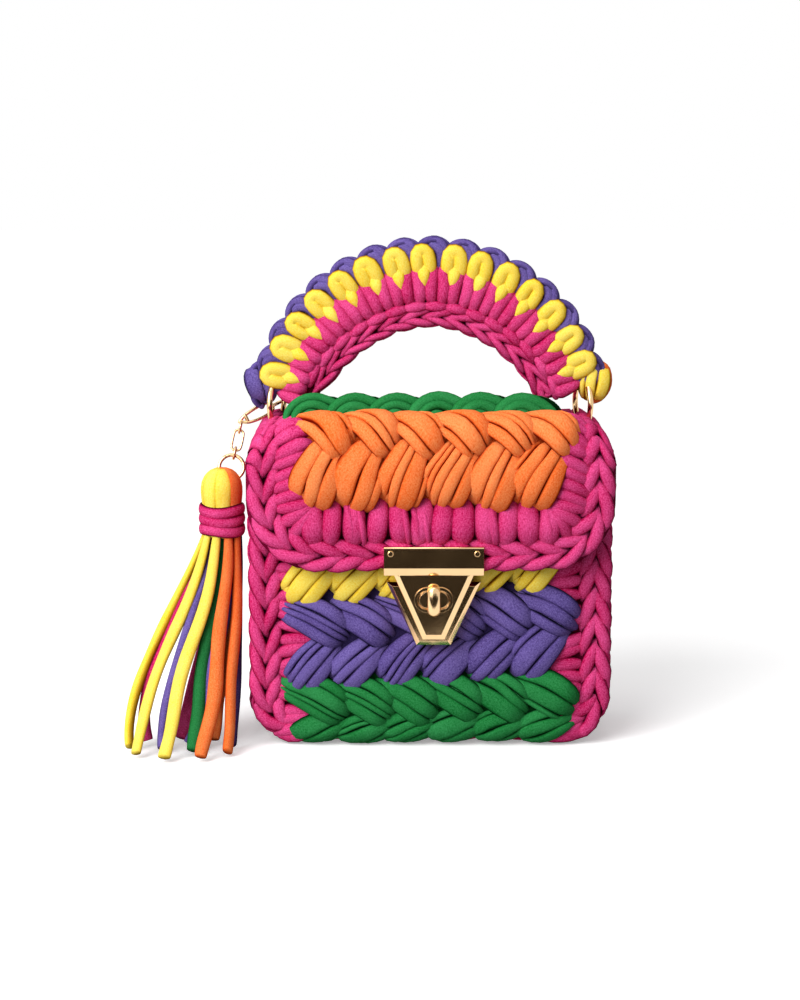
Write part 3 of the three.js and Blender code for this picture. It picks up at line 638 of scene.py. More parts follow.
def roll(skein, space, start, finish, half, high, rise, bow=0.0):
    """One fat strand on its own, rolled round and bowed to the left of the way by bow."""
    start, finish = np.asarray(start, float), np.asarray(finish, float)
    chord = finish - start
    left = np.array((-chord[1], chord[0])) / np.hypot(*chord)
    share = np.linspace(0, 1, 7)
    line = start + chord * share[:, None] + left * (bow * 4 * share * (1 - share))[:, None]
    girth = half * ROLL_GIRTH * random.uniform(0.93, 1.07)
    skein.strand(np.column_stack([line, smooth(rise, share)]), girth, high, space, (*left, 0))


def chain(skein, space, route, width, pitch, base=-3.8, thick=3.3):
    """V links along a route of flat points, opening the way the route goes."""
    route = np.asarray(route, float)
    steps = np.linalg.norm(np.diff(route, axis=0), axis=1)
    places = np.concatenate([[0], np.cumsum(steps)])
    count = max(1, round(places[-1] / pitch))
    pitch = places[-1] / count

    def on_route(place):
        return np.array([np.interp(place, places, route[:, axis]) for axis in (0, 1)])

    def beside_route(place, sideways):
        way = on_route(place + 1) - on_route(place - 1)
        way = way / max(np.hypot(*way), 1e-6)
        return on_route(place) + sideways * np.array((-way[1], way[0]))

    for index in range(count):
        for side in (-1, 1):
            begin = (index + random.uniform(-0.06, 0.06)) * pitch
            reach = pitch * random.uniform(1.66, 1.86)
            wander = random.uniform(-0.02, 0.02)
            spots = [
                beside_route(begin + reach * step / 5, side * width * (lane + wander))
                for step, lane in enumerate(LEG_LANES)
            ]
            girth = width * LEG_SHARE * random.uniform(0.92, 1.08) * LEG_GIRTH
            heights = base + LEG_HEIGHTS + random.uniform(-0.3, 0.3)
            skein.strand(np.column_stack([np.array(spots), heights]), girth, thick, space, form=LEG)


LOWER_RISE = np.array((-4.5, 4.0, 6.2, 6.3, 5.2, 3.0, -1.4))
LOWER_GIRTH = (0.6, 1.0, 1.12, 1.12, 1.02, 0.82, 0.46)
UPPER_RISE = np.array((-4.0, 2.6, 4.4, 5.6, 6.5, 5.4, -2.4))
UPPER_GIRTH = (0.5, 0.92, 1.06, 1.14, 1.14, 1.02, 0.6)


def lay_petals(skein, space, spine, starts, lean, rise, girth, width, strands=(3, 4), tilt=0.0):
    """A row of petals: lean says where each begins off the spine, its way and its bow."""
    for across in starts:
        nudge = random.uniform(-0.9, 0.9, 4)
        begin = np.array((across + lean["across"], spine + tilt * across + lean["off"])) + nudge[:2]
        end = begin + lean["way"] + nudge[2:]
        count = int(random.integers(strands[0], strands[1] + 1))
        size = width * random.uniform(0.95, 1.05)
        petal(skein, space, begin, end, size, count, rise, girth, lean["bow"])


# %% [markdown]
# The front of the bag is three braid rows, green, purple and yellow from the bottom, and they
# climb a little to the right. The flap hides most of the yellow one, and the green one tucks in
# under the bottom. Each row is its own piece, because each is worked in its own yarn.

# %% Front braid rows
ROW_SPINES = {"green": 16.4, "purple": 59.5, "yellow": 105.5}
ROW_TILT = 0.06
ROW_WIDTH = 18.0
ROW_STARTS = np.linspace(-77.0, 38.0, 6)
ROW_LOWER = {"across": 5.0, "off": -28.5, "way": np.array((27.5, 28.5)), "bow": 3.0}
ROW_UPPER = {"across": -0.5, "off": 18.5, "way": np.array((37.0, -20.0)), "bow": 4.0}
HEM_LOWER = {"across": 4.0, "off": -17.5, "way": np.array((33.0, 15.0)), "bow": 2.4}
HEM_RISE = np.array((-2.5, 2.6, 4.0, 4.4, 4.0, 2.4, -1.4))
HEM_START_Z = 10.0
HEM_RADIUS = 4.0
HEM_MIDDLE = 7.5
HEM_TILT = 0.03
ROW_FABRIC_HALF = 64
ROW_FABRIC = (-2.0, 1.6)


def hem_space(flat):
    """The front, turning in under the bottom of the bag below HEM_START_Z."""
    turn = np.clip((HEM_START_Z - flat[:, 1]) / HEM_MIDDLE, 0, math.pi / 2)
    under = np.clip(HEM_START_Z - HEM_MIDDLE * math.pi / 2 - flat[:, 1], 0, None)
    reach = HEM_RADIUS + flat[:, 2]
    return np.column_stack([
        flat[:, 0],
        FRONT_FACE_Y + HEM_RADIUS - reach * np.cos(turn) + under,
        np.maximum(np.maximum(flat[:, 1], HEM_START_Z) - reach * np.sin(turn), GROUND_Z),
    ])


def braid_row(skein, space, spine, starts, lower, upper, width, tilt=0.0, low_rise=LOWER_RISE):
    lay_petals(skein, space, spine, starts, lower, low_rise, LOWER_GIRTH, width, tilt=tilt)
    lay_petals(skein, space, spine, starts, upper, UPPER_RISE, UPPER_GIRTH, width, tilt=tilt)


for colour, spine in ROW_SPINES.items():
    row = Skein(f"braid_row_{colour}", colour)
    if colour == "green":
        row.slab(front_space, ROW_FABRIC_HALF, (spine - 10, spine + 25), ROW_FABRIC, steps=8)
        braid_row(row, hem_space, spine, ROW_STARTS, HEM_LOWER, ROW_UPPER, ROW_WIDTH, HEM_TILT, HEM_RISE)
    else:
        row.slab(front_space, ROW_FABRIC_HALF, (spine - 17, spine + 25), ROW_FABRIC, steps=8)
        braid_row(row, front_space, spine, ROW_STARTS, ROW_LOWER, ROW_UPPER, ROW_WIDTH, ROW_TILT)
    row.wind_off("bag", f"front_row_{colour}")

# %% [markdown]
# The orange row lies on the flap, and its upper petals bend over the shoulder of it.

# %% Orange row of the flap
orange = Skein("braid_row_orange", "orange")
orange.slab(flap_space, half_width=62, along=(38, 78), out=(-1.0, 1.4), steps=10)
ORANGE_SPINE = 60.0
ORANGE_STARTS = np.linspace(-73.0, 38.0, 6)
ORANGE_LOWER = {"across": 9.5, "off": -29.0, "way": np.array((18.0, 36.0)), "bow": 3.0}
ORANGE_UPPER = {"across": 0.0, "off": 22.0, "way": np.array((34.0, -22.5)), "bow": 4.6}
ORANGE_GIRTH = (0.5, 1.0, 1.14, 1.1, 0.96, 0.76, 0.4)
lay_petals(
    orange, flap_space, ORANGE_SPINE, ORANGE_STARTS, ORANGE_LOWER, LOWER_RISE, ORANGE_GIRTH, 22.0, (3, 5)
)
lay_petals(orange, flap_space, ORANGE_SPINE, ORANGE_STARTS, ORANGE_UPPER, UPPER_RISE, UPPER_GIRTH, 16.0)
orange.wind_off("bag", "flap_row_orange")

# %% [markdown]
# The green row behind it stands up on the crest like a ridge. Its loops are rainbows: three
# strands, one inside the other, each loop lying over the end of the last. They are laid on two
# slopes that meet in the ridge, one facing forward and one facing back.

# %% Green crest
CREST_SLOPE = math.radians(38)
CREST_FOOT_Z = 165.0
CREST_FRONT_Y = -37.0
CREST_BACK_Y = -13.0
CREST_BACK_DROP = 3.0
CREST_BACK_SHIFT = 7.0
LOBE_CENTRES = np.linspace(-61.0, 44.0, 6)
LOBE_LINE = np.array((
    (-12.0, -2.0, 2.6), (-10.5, 5.0, 3.2), (-5.5, 11.0, 3.2), (2.0, 14.2, 2.4),
    (10.0, 13.0, 0.6), (17.0, 9.0, -1.6), (22.0, 3.0, -3.0),
))
LOBE_STRANDS = 3
LOBE_GIRTH = 3.0 * np.array((0.8, 1.0, 1.1, 1.0, 0.7))


def crest_front(flat):
    up, out = flat[:, 1], flat[:, 2]
    y = CREST_FRONT_Y + up * math.sin(CREST_SLOPE) - out * math.cos(CREST_SLOPE)
    z = CREST_FOOT_Z + up * math.cos(CREST_SLOPE) + out * math.sin(CREST_SLOPE)
    return np.column_stack([flat[:, 0], y, z])


def crest_back(flat):
    turned = crest_front(flat)
    y = CREST_FRONT_Y + CREST_BACK_Y - turned[:, 1]
    return np.column_stack([-turned[:, 0], y, turned[:, 2] - CREST_BACK_DROP])


crest_row = Skein("braid_row_crest", "green")
crest_row.slab(flap_space, half_width=60, along=(85, 107), out=(-1.0, 5.5), steps=10)
for space, shift in ((crest_front, 0.0), (crest_back, CREST_BACK_SHIFT)):
    for centre in LOBE_CENTRES + shift:
        for ring in range(LOBE_STRANDS):
            scale = 1 - (ring + random.uniform(-0.12, 0.12)) / LOBE_STRANDS
            shift_in = (centre + 1.5 * (1 - scale), 0, random.uniform(-0.4, 0.4))
            line = LOBE_LINE * (scale, scale, 1) + shift_in
            girth = LOBE_GIRTH * random.uniform(0.8, 1.15)
            crest_row.strand(line, girth, high=3.4, space=space)
crest_row.wind_off("bag", "top_row_green")

# %% [markdown]
# The magenta front panel carries the rows. Beside them it shows short puffs that tuck in under
# the row ends, and along its edge a chain that goes up the left side and down the right.

# %% Front panel
PANEL_EDGE_LANE = 84.0
PANEL_CHAIN = {"width": 17.5, "pitch": 13.5}
NOTCH_ROLL = {"half": 3.8, "high": 3.6, "rise": (-3.8, -1.6, -0.4, -0.6, -3.0)}
LEFT_NOTCHES = (21.0, 57.0, 96.0)
RIGHT_NOTCHES = (4.0, 38.0, 82.0, 118.0)


def edge_route(half, low, corner, top):
    """Up one side of a panel: in from the bottom, round the corner and up to the top."""
    turn = np.linspace(-math.pi / 2, 0, 8)
    bend = np.column_stack([half - corner + corner * np.cos(turn), low + corner + corner * np.sin(turn)])
    return np.vstack([[(half - corner - 14, low)], bend, [(half, top)]])


def panel_half_width(height):
    into_corner = np.clip(BOTTOM_RADIUS - height, 0, BOTTOM_RADIUS)
    return SIDE_FACE_X - 4 - BOTTOM_RADIUS + np.sqrt(BOTTOM_RADIUS**2 - into_corner**2)


front = Skein("front_panel_yarn", "magenta")
front.slab(front_space, panel_half_width, along=(2, 154), out=(-8.0, -3.4))
right_edge = edge_route(PANEL_EDGE_LANE, 9.0, 16.0, 152.0)
left_edge = right_edge * (-1, 1)
chain(front, front_space, left_edge, **PANEL_CHAIN)
chain(front, front_space, right_edge[::-1], **PANEL_CHAIN)
for side, notches in ((-1, LEFT_NOTCHES), (1, RIGHT_NOTCHES)):
    for notch in notches:
        for fan in np.linspace(-1, 1, 6) + random.uniform(-0.08, 0.08, 6):
            begin = (side * random.uniform(78, 81), max(notch + fan * 19, 5))
            finish = (side * random.uniform(52, 58), max(notch + fan * 9, 5))
            bow = random.uniform(-1.4, 1.4)
            roll(front, front_space, begin, finish, **NOTCH_ROLL, bow=bow)
front.wind_off("bag", "front_panel")

# %% [markdown]
# The gusset is one strip of chain columns that runs down one side, over the bottom and up the
# other: three wide columns, and a narrow one along the seam with each panel. Its stitches stay
# inside the frame's faces, so the bag still stands flat.

# %% Gusset
gusset = Skein("gusset_yarn", "magenta")
gusset.slab(gusset_space, half_width=27.5, along=(0, GUSSET_LENGTH), out=(-8.0, -5.0), steps=40)
for lane, width, base in (
    (-29.2, 11.0, -7.4), (-17.2, 17.6, -5.9), (0.0, 17.6, -5.9), (17.2, 17.6, -5.9), (29.2, 11.0, -7.4)
):
    route = np.column_stack([np.full(60, lane), np.linspace(0, GUSSET_LENGTH, 60)])
    chain(gusset, gusset_space, route, width, pitch=13.2, base=base, thick=3.1)
gusset.wind_off("bag", "gusset")

# %% [markdown]
# The back is not seen in the picture. It is worked plainly in magenta, in four braid rows
# between two chain edges, as the front is.

# %% Back panel
back = Skein("back_panel_yarn", "magenta")
back.slab(back_space, panel_half_width, along=(2, 148), out=(-8.0, -1.0))
back_edge = edge_route(PANEL_EDGE_LANE, 9.0, 16.0, 146.0)
chain(back, back_space, back_edge * (-1, 1), **PANEL_CHAIN)
chain(back, back_space, back_edge[::-1], **PANEL_CHAIN)
BACK_LOWER = {"across": 1.5, "off": -18.0, "way": np.array((27.0, 25.0)), "bow": 3.4}
BACK_UPPER = {"across": 0.0, "off": 18.0, "way": np.array((31.5, -20.5)), "bow": 3.6}
BACK_STARTS = np.linspace(-73.0, 42.0, 6)
BACK_WIDTH = 16.6
BACK_STEP = 36.2
for index in range(4):
    spine = 21.0 + BACK_STEP * index
    braid_row(back, back_space, spine, BACK_STARTS, BACK_LOWER, BACK_UPPER, BACK_WIDTH)
BACK_ROLLS = np.arange(9.0, 146.0, 6.4)
for side in (-1, 1):
    for height in BACK_ROLLS + random.uniform(-1, 1, len(BACK_ROLLS)):
        roll(back, back_space, (side * 80, height - 3), (side * 54, height + 3), **NOTCH_ROLL)
back.wind_off("bag", "back_panel")

# %% [markdown]
# The flap is one piece of fabric with a chain border round its free edge. Inside the border a
# row of fat puffs runs along the bottom and up both sides. Behind the crest four chain rows
# cross the top, and short rolls fill the rear corners.

# %% Flap
flap = Skein("flap_yarn", "magenta")
flap.slab(flap_space, flap_half_width, along=(1.5, 166), out=(-8.0, -3.6), steps=40)
BORDER_INSET = 8.8
BORDER_LANE = FLAP_HALF - BORDER_INSET
BORDER_END = 158.0
corner_turn = np.linspace(0, -math.pi / 2, 8)
corner_reach = FLAP_CORNER - BORDER_INSET
corner = np.column_stack([
    FLAP_HALF - FLAP_CORNER + corner_reach * np.cos(corner_turn),
    FLAP_CORNER + corner_reach * np.sin(corner_turn),
])
other_corner = (corner * (-1, 1))[::-1]
border = np.vstack([[(BORDER_LANE, BORDER_END)], corner, other_corner, [(-BORDER_LANE, BORDER_END)]])
chain(flap, flap_space, border, width=17.6, pitch=13.8)
PUFF_RISE = (-4.6, -1.2, 0.6, 0.0, -4.4)
for across in np.linspace(-60.0, 60.0, 12) + random.uniform(-0.9, 0.9, 12):
    lean = random.uniform(-2.2, 1.2)
    half = random.uniform(5.2, 6.4)
    roll(flap, flap_space, (across - lean, 37.0), (across + lean, 14.5), half, high=4.6, rise=PUFF_RISE)
    for crease in random.uniform(-4.0, 4.0, int(random.integers(0, 3))):
        top = (across + crease - 2, 36.0)
        foot = (across + crease + 2, 15.0)
        roll(flap, flap_space, top, foot, half=2.3, high=4.8, rise=PUFF_RISE, bow=1.0)
for side in (-1, 1):
    for along in np.arange(38.0, 98.0, 6.0):
        outside = (side * 80.0, along - random.uniform(3.5, 7.0))
        inside = (side * 58.0, along + 4.0)
        roll(flap, flap_space, outside, inside, half=3.6, high=3.9, rise=PUFF_RISE, bow=-side * 1.5)
    for degrees in (-10, -32, -54, -76):
        turn = math.radians(degrees)
        way = np.array((side * math.cos(turn), math.sin(turn)))
        middle = np.array((side * (FLAP_HALF - FLAP_CORNER), FLAP_CORNER))
        roll(flap, flap_space, middle + way * 22.5, middle + way, half=4.0, high=4.0, rise=PUFF_RISE)
for along in (116.0, 132.0, 148.0, 163.0):
    chain(flap, flap_space, [(-74, along), (74, along)], width=17.4, pitch=13.6, base=-5.2)
CORNER_RISE = (-4.4, -3.4, -2.6, -3.0, -4.6)
for side in (-1, 1):
    for along in (147.0, 154.0, 161.0):
        outside = (side * 91.0, along + 3.0)
        inside = (side * 68.0, along)
        roll(flap, flap_space, outside, inside, half=4.0, high=3.6, rise=CORNER_RISE)
flap.wind_off("bag", "flap")

# %% [markdown]
# The handle is a stiff arch worked in three colours: a magenta band with a chain along the
# inner edge, a row of yellow shells with a spike into the magenta, and a purple edging that
# peeps out between the shells. One orange loop shows at its right end. Its face is flat, so its
# stitches are set out by angle and radius and laid on the front and on the back.

# %% Handle
HANDLE_CENTRE_Z = 164.0
HANDLE_FACE = 4.0
SHELL_STEP = 10.2
SHELL_FIRST = 163.5
SHELL_ANGLES = [SHELL_FIRST - SHELL_STEP * index for index in range(15)]
SHELL_HALF = ((2.4, 72.0), (3.0, 77.0), (3.1, 82.0), (2.4, 86.2), (0.0, 87.4))
SHELL_HEIGHTS = np.array((-1.2, 2.0, 2.9, 3.0, 3.1, 3.0, 2.8, 2.0, -1.2))
SHELL_GIRTH = np.array((2.6, 3.7, 3.9, 3.7, 3.5, 3.7, 3.9, 3.6, 2.4))
SPIKE_LINE = ((81.5, 0.6), (77.5, 3.0), (73.5, 4.2), (67.5, 2.6))
SPIKE_GIRTH = (2.2, 3.4, 3.2, 0.5)
PAIR_GIRTH = (1.7, 3.3, 3.8, 3.7, 2.3)
BAR_GIRTH = (1.7, 2.9, 2.9, 1.7)


def handle_front(flat):
    return np.column_stack([flat[:, 0], -HANDLE_FACE - flat[:, 2], HANDLE_CENTRE_Z + flat[:, 1]])


def handle_back(flat):
    return np.column_stack([-flat[:, 0], HANDLE_FACE + flat[:, 2], HANDLE_CENTRE_Z + flat[:, 1]])


def on_arch(degrees, radius, sideways=0.0):
    turn = math.radians(degrees)
    out = np.array((math.cos(turn), math.sin(turn)))
    return radius * out + sideways * np.array((out[1], -out[0]))


def handle_inner(degrees):
    """The radius of the inner edge, which flares towards both ends."""
    rise = np.minimum(degrees, 180 - degrees)
    return 48.5 + 11.0 * np.clip(1 - rise / 62, 0, 1) ** 1.5


def arch_core(inner, outer):
    """A space for a slab: across goes from the inner to the outer radius, along is the angle."""
    def space(flat):
        degrees = flat[:, 1]
        low = inner(degrees)
        radius = low + (outer - low) * (flat[:, 0] + 1) / 2
        turn = np.radians(degrees)
        return np.column_stack([
            radius * np.cos(turn), flat[:, 2], HANDLE_CENTRE_Z + radius * np.sin(turn)
        ])
    return space


magenta_band = Skein("handle_magenta_yarn", "magenta")
yellow_band = Skein("handle_yellow_yarn", "yellow")
purple_edge = Skein("handle_purple_yarn", "purple")
magenta_core = arch_core(lambda degrees: handle_inner(degrees) + 2, 71)
yellow_core = arch_core(lambda degrees: np.full(len(degrees), 72.0), 86)
magenta_band.slab(magenta_core, half_width=1, along=(170, 10), out=(-5.0, 5.0), steps=40)
yellow_band.slab(yellow_core, half_width=1, along=(168, 11), out=(-4.6, 4.6), steps=40)


def shell(space, degrees, flip):
    """An inverted U of yarn with a spike that reaches down between its legs."""
    lean = random.uniform(-0.9, 0.9)
    spots = [(-sideways, radius) for sideways, radius in SHELL_HALF[:-1]] + list(SHELL_HALF[::-1])
    heights = SHELL_HEIGHTS + random.uniform(-0.3, 0.3)
    arch = [
        (*on_arch(degrees, radius, sideways + lean - 0.1 * (radius - 80)), height)
        for (sideways, radius), height in zip(spots, heights)
    ]
    girth = SHELL_GIRTH * random.uniform(0.94, 1.12)
    yellow_band.strand(np.array(arch) * (flip, 1, 1), girth, high=3.8, space=space)
    aside = random.uniform(-1.6, 0.6)
    spike = [(*on_arch(degrees + aside, radius), height) for radius, height in SPIKE_LINE]
    yellow_band.strand(np.array(spike) * (flip, 1, 1), SPIKE_GIRTH, high=2.9, space=space, tip=0.15)


def tall_pair(space, degrees, flip):
    """Two long strands side by side, from under the shells down to the inner chain."""
    foot = float(handle_inner(degrees)) + 11.0
    middle = (70 + foot) / 2
    line = ((0.4, 79, -0.6), (0.7, 75, 1.8), (1.0, 70, 3.0), (1.05, middle, 2.8), (0.75, foot, -0.6))
    for offset in (-2.6, 2.6):
        spread = offset * random.uniform(0.9, 1.1)
        leaf = [
            (*on_arch(degrees + spread * share, radius), height)
            for share, radius, height in line
        ]
        magenta_band.strand(np.array(leaf) * (flip, 1, 1), PAIR_GIRTH, high=3.8, space=space)


def small_bar(space, degrees, flip):
    """A short strand along the arch, across the feet of a tall pair."""
    radius = float(handle_inner(degrees)) + 10.2
    bar = [
        (*on_arch(degrees + turn, radius), height)
        for turn, height in ((-6, 0.4), (-2, 2.7), (2, 2.7), (6, 0.4))
    ]
    magenta_band.strand(np.array(bar) * (flip, 1, 1), BAR_GIRTH, high=2.8, space=space)


HANDLE_FACES = ((handle_front, 1), (handle_back, -1))
PAIR_ANGLES = [SHELL_FIRST + SHELL_STEP / 2] + [angle - SHELL_STEP / 2 for angle in SHELL_ANGLES]
for space, flip in HANDLE_FACES:
    for degrees in SHELL_ANGLES:
        shell(space, degrees, flip)
        small_bar(space, degrees - SHELL_STEP / 2, flip)
    for degrees in PAIR_ANGLES:
        tall_pair(space, degrees, flip)
    edge_angles = np.linspace(168, 12, 60)
    inner_edge = np.array([on_arch(angle, handle_inner(angle) + 4.6) for angle in edge_angles])
    chain(magenta_band, space, inner_edge * (flip, 1), width=10.5, pitch=11.5, base=-1.2, thick=3.0)

# The purple edging: each stitch comes out of the gap between two shells, goes up beside the
# shell and turns over the top of it, so it makes a low bump on the rim.
ARCH_MIDDLE = np.array((0, 0, HANDLE_CENTRE_Z))
COMMA = np.array(((1.2, 77.0), (2.6, 83.0), (2.6, 88.0), (-0.6, 91.2), (-5.6, 91.0), (-9.6, 87.5)))
COMMA_GIRTH = (1.4, 2.2, 2.6, 2.6, 2.4, 1.8)
RIM_GIRTH = (5.6, 6.8, 7.2, 6.8, 5.6)
EDGE_HIGH = 2.9
COMMA_HEIGHTS = {
    1.0: (-1.2, 0.8, 1.6, 0.4, -1.8, -3.4),
    0.2: (-1.0, 1.2, 2.0, 1.0, -0.8, -2.6),
}
for shell_angle in [SHELL_FIRST + SHELL_STEP] + SHELL_ANGLES:
    degrees = shell_angle - SHELL_STEP / 2
    rim = []
    for share in np.linspace(-1.25, 1.25, 9):
        bump = 85.0 + 6.2 * math.cos(share * 1.2)
        spot = on_arch(degrees, bump, 7.4 * math.sin(share * 1.2) - 2.6)
        rim.append((spot[0], 0.0, HANDLE_CENTRE_Z + spot[1]))
    purple_edge.strand(rim, RIM_GIRTH, EDGE_HIGH, side=(0, 1, 0), around=ARCH_MIDDLE, crease=0.5)
    for space, flip in HANDLE_FACES:
        for out, heights in COMMA_HEIGHTS.items():
            comma = [
                (*on_arch(degrees, radius - 2.6 * (1 - out), sideways - 2.4 * (1 - out)), height)
                for (sideways, radius), height in zip(COMMA, heights)
            ]
            purple_edge.strand(np.array(comma) * (flip, 1, 1), COMMA_GIRTH, EDGE_HIGH, space, crease=0.6)


UNDER_RADIUS = 50.5


def underside(flat):
    """The inner face of the arch: across is the depth, along the arc, out is inwards."""
    turn = math.pi - flat[:, 1] / UNDER_RADIUS
    radius = handle_inner(np.degrees(turn)) + 2.0 - flat[:, 2]
    return np.column_stack([radius * np.cos(turn), flat[:, 0], HANDLE_CENTRE_Z + radius * np.sin(turn)])


under_arc = np.radians(np.linspace(12, 168, 60)) * UNDER_RADIUS
under_route = np.column_stack([np.zeros(60), under_arc])
chain(magenta_band, underside, under_route, width=11.0, pitch=11.5, base=-2.0, thick=2.6)
# The arch ends in fat loops round the rings: purple ones on the left, and on the right yellow
# ones with an orange one between them.
END_RISE = (-1.0, 2.4, 3.2, 2.0, -3.0)
END_GIRTH = (0.9, 1.04, 1.06, 0.94, 0.6)
END_CROWN = 4.0
for space, flip in HANDLE_FACES:
    for skein, top, foot, width, strands in (
        (purple_edge, (-87.5 * flip, 27.0), (-85.5 * flip, 8.5), 14.5, 2),
        (yellow_band, (87.0 * flip, 28.5), (82.5 * flip, 9.5), 13.0, 3),
    ):
        petal(skein, space, top, foot, width, strands, END_RISE, END_GIRTH, crown=END_CROWN)
END_LOOP_GIRTH = (4.6, 6.0, 6.4, 6.0, 4.4)
END_ROUTE = ((84.0, 193.0), (90.0, 189.5), (91.0, 182.0), (87.5, 176.0), (82.0, 173.5))
orange_loop = Skein("handle_orange_loop", "orange")
for skein, side in ((purple_edge, -1), (orange_loop, 1)):
    route = [(side * across, 0.0, height) for across, height in END_ROUTE]
    skein.strand(route, END_LOOP_GIRTH, EDGE_HIGH, side=(0, 1, 0), around=ARCH_MIDDLE, crease=0.6)
magenta_band.wind_off("handle", "handle_magenta_band")
yellow_band.wind_off("handle", "handle_yellow_band")
orange_loop.wind_off("handle", "handle_yellow_band")
purple_edge.wind_off("handle", "handle_purple_edge")

# %% [markdown]
# The tassel's head is a bunch of strands folded over its ring, yellow on the left and orange
# on the right, and magenta yarn wound three times round the neck holds it together.

# %% Tassel head and band
BAND_TOP_Z = 119.5
BAND_LOW_Z = 104.5
HEAD_RADIUS = 6.88
HEAD_MIDDLE_Z = 116.0
BAND_RADIUS = 10.4
HEAD_LINE = (
    (1.0, 103), (1.04, 112), (1.1, 120), (1.18, 126), (1.12, 131), (0.8, 134.6), (0.36, 136.2), (0.04, 134)
)
HEAD_GIRTH = (3.4, 3.8, 4.4, 5.0, 4.8, 4.0, 3.0, 2.0)
HEAD_FOLDS = {"yellow": (140, 186, 232, 278), "orange": (322, 6, 50, 94)}
for colour, turns in HEAD_FOLDS.items():
    head = Skein(f"tassel_head_{colour}", colour)
    for degrees in turns:
        turn = math.radians(degrees)
        way = np.array((math.cos(turn), math.sin(turn)))
        fold = [(*(TASSEL_AXIS + way * HEAD_RADIUS * reach), height) for reach, height in HEAD_LINE]
        head.strand(
            fold, HEAD_GIRTH, high=2.7,
            side=np.cross((*way, 0), (0, 0, 1)), around=np.array((*TASSEL_AXIS, HEAD_MIDDLE_Z)),
        )
    head.wind_off("tassel", "tassel_head")

band = Skein("tassel_band_yarn", "magenta")
TURNS = 3
turn_height = (BAND_TOP_Z - BAND_LOW_Z) / TURNS
for index in range(TURNS):
    level = BAND_LOW_Z + turn_height * (index + 0.5)
    wind = []
    for degrees in np.linspace(0, 360, 40):
        turn = math.radians(degrees + 90)
        spot = TASSEL_AXIS + BAND_RADIUS * np.array((math.cos(turn), math.sin(turn)))
        wind.append((*spot, level + 0.7 * math.sin(turn * 2 + index)))
    middle = np.array((*TASSEL_AXIS, level))
    band.strand(wind, turn_height * 0.62, high=1.7, form=CORD, side=(0, 0, 1), around=middle)
band.wind_off("tassel", "tassel_band")

# %% [markdown]
# The metal is thin plated gold, polished like a mirror. What it shows is its surroundings, so
# it needs little colour of its own: a pale gold, faint smears in the polish, and fine scratches.

# %% Metal finishes
def metal_finish(name, tint, polish):
    material, surface, wire = new_finish(name)
    place = wire.add("ShaderNodeTexCoord", None, None, 3)
    noise = "ShaderNodeTexNoise"
    smear = wire.add(noise, None, {"Vector": place, "Scale": 90.0, "Detail": 3})
    scratch = wire.add(noise, None, {"Vector": place.stretched((1, 1, 14)), "Scale": 700.0, "Detail": 2})
    worn = tuple(channel * 0.86 for channel in tint[:3]) + (1.0,)
    wire.feed(surface.inputs["Base Color"], smear.mixed(worn, tint))
    wire.feed(surface.inputs["Roughness"], smear * 0.08 + polish)
    bump = wire.add("ShaderNodeBump", None, {"Height": scratch, "Strength": 0.03, "Distance": 0.0002})
    wire.feed(surface.inputs["Normal"], bump)
    surface.inputs["Metallic"].default_value = 1.0
    return material


GOLD = metal_finish("polished gold", linear(238, 200, 150), 0.05)
STEEL = metal_finish("spring steel", linear(190, 190, 188), 0.22)
print("metal finishes:", GOLD.name, "and", STEEL.name)

# %% [markdown]
# The metal pieces keep their solids from the frame, which have the right shape already. Weld
# joins the loose triangles of a solid, and then a fine bevel catches the light along the edges
# of the plates, or a subdivision makes the wire of rings and links round.

# %% Metal pieces
PLATES = ["clasp_bar", "clasp_clamp_plate", "clasp_hasp_plate", "clasp_base_tray", "clasp_backing_plate"]
ROUND = ["charm_jump_ring", "charm_link_top", "charm_link_middle", "charm_link_low", "tassel_ring"]
SMALL = [
    "clasp_screw_left", "clasp_screw_right", "clasp_eyelet", "clasp_detent_spring", "clasp_retaining_clip",
]
WELD_REACH = 0.01 * MM
EDGE_BEVEL = 0.25 * MM
EYELET_BEVEL = 0.5 * MM


def dress(node, material):
    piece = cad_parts[node]
    piece.data.materials.clear()
    piece.data.materials.append(material)
    weld = piece.modifiers.new("weld", "WELD")
    weld.merge_threshold = WELD_REACH
    return piece


for node in PLATES + SMALL:
    piece = dress(node, STEEL if "spring" in node or "clip" in node else GOLD)
    bevel = piece.modifiers.new("soft edges", "BEVEL")
    bevel.width = EDGE_BEVEL
    bevel.segments = 2
    bevel.limit_method = "ANGLE"
    bevel.angle_limit = math.radians(30)
for node in ROUND:
    piece = dress(node, GOLD)
    rounding = piece.modifiers.new("round wire", "SUBSURF")
    rounding.levels = rounding.render_levels = 2
eyelet_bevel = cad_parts["clasp_eyelet"].modifiers["soft edges"]
eyelet_bevel.width = EYELET_BEVEL
eyelet_bevel.segments = 4
print("dressed", len(PLATES + SMALL + ROUND), "metal pieces")

# %% [markdown]
# The two rings of the handle are bent from round wire. Each hangs a little askew in its
# stitches, turned away from the middle of the bag, so its loop is seen from the front.

# %% Handle rings
RING_X = 79.0
RING_Z = 172.4
RING_RADIUS = 12.0
RING_WIRE = 1.5
RING_TURN = math.radians(15)
for name, side in (("ring_left", -1), ("ring_right", 1)):
    deselect_all()
    bpy.ops.mesh.primitive_torus_add(
        major_radius=RING_RADIUS * MM, minor_radius=RING_WIRE * MM, major_segments=64, minor_segments=16,
        location=(side * RING_X * MM, 0, RING_Z * MM), rotation=(0, math.pi / 2, side * RING_TURN),
    )
    ring = bpy.context.object
    ring.name = f"{name}_wire"
    bpy.ops.object.transform_apply(location=True, rotation=True, scale=True)
    bpy.ops.object.shade_smooth()
    ring.data.materials.append(GOLD)
    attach(ring, "handle")
    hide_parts(name)
print("two rings of", 2 * RING_RADIUS, "mm")

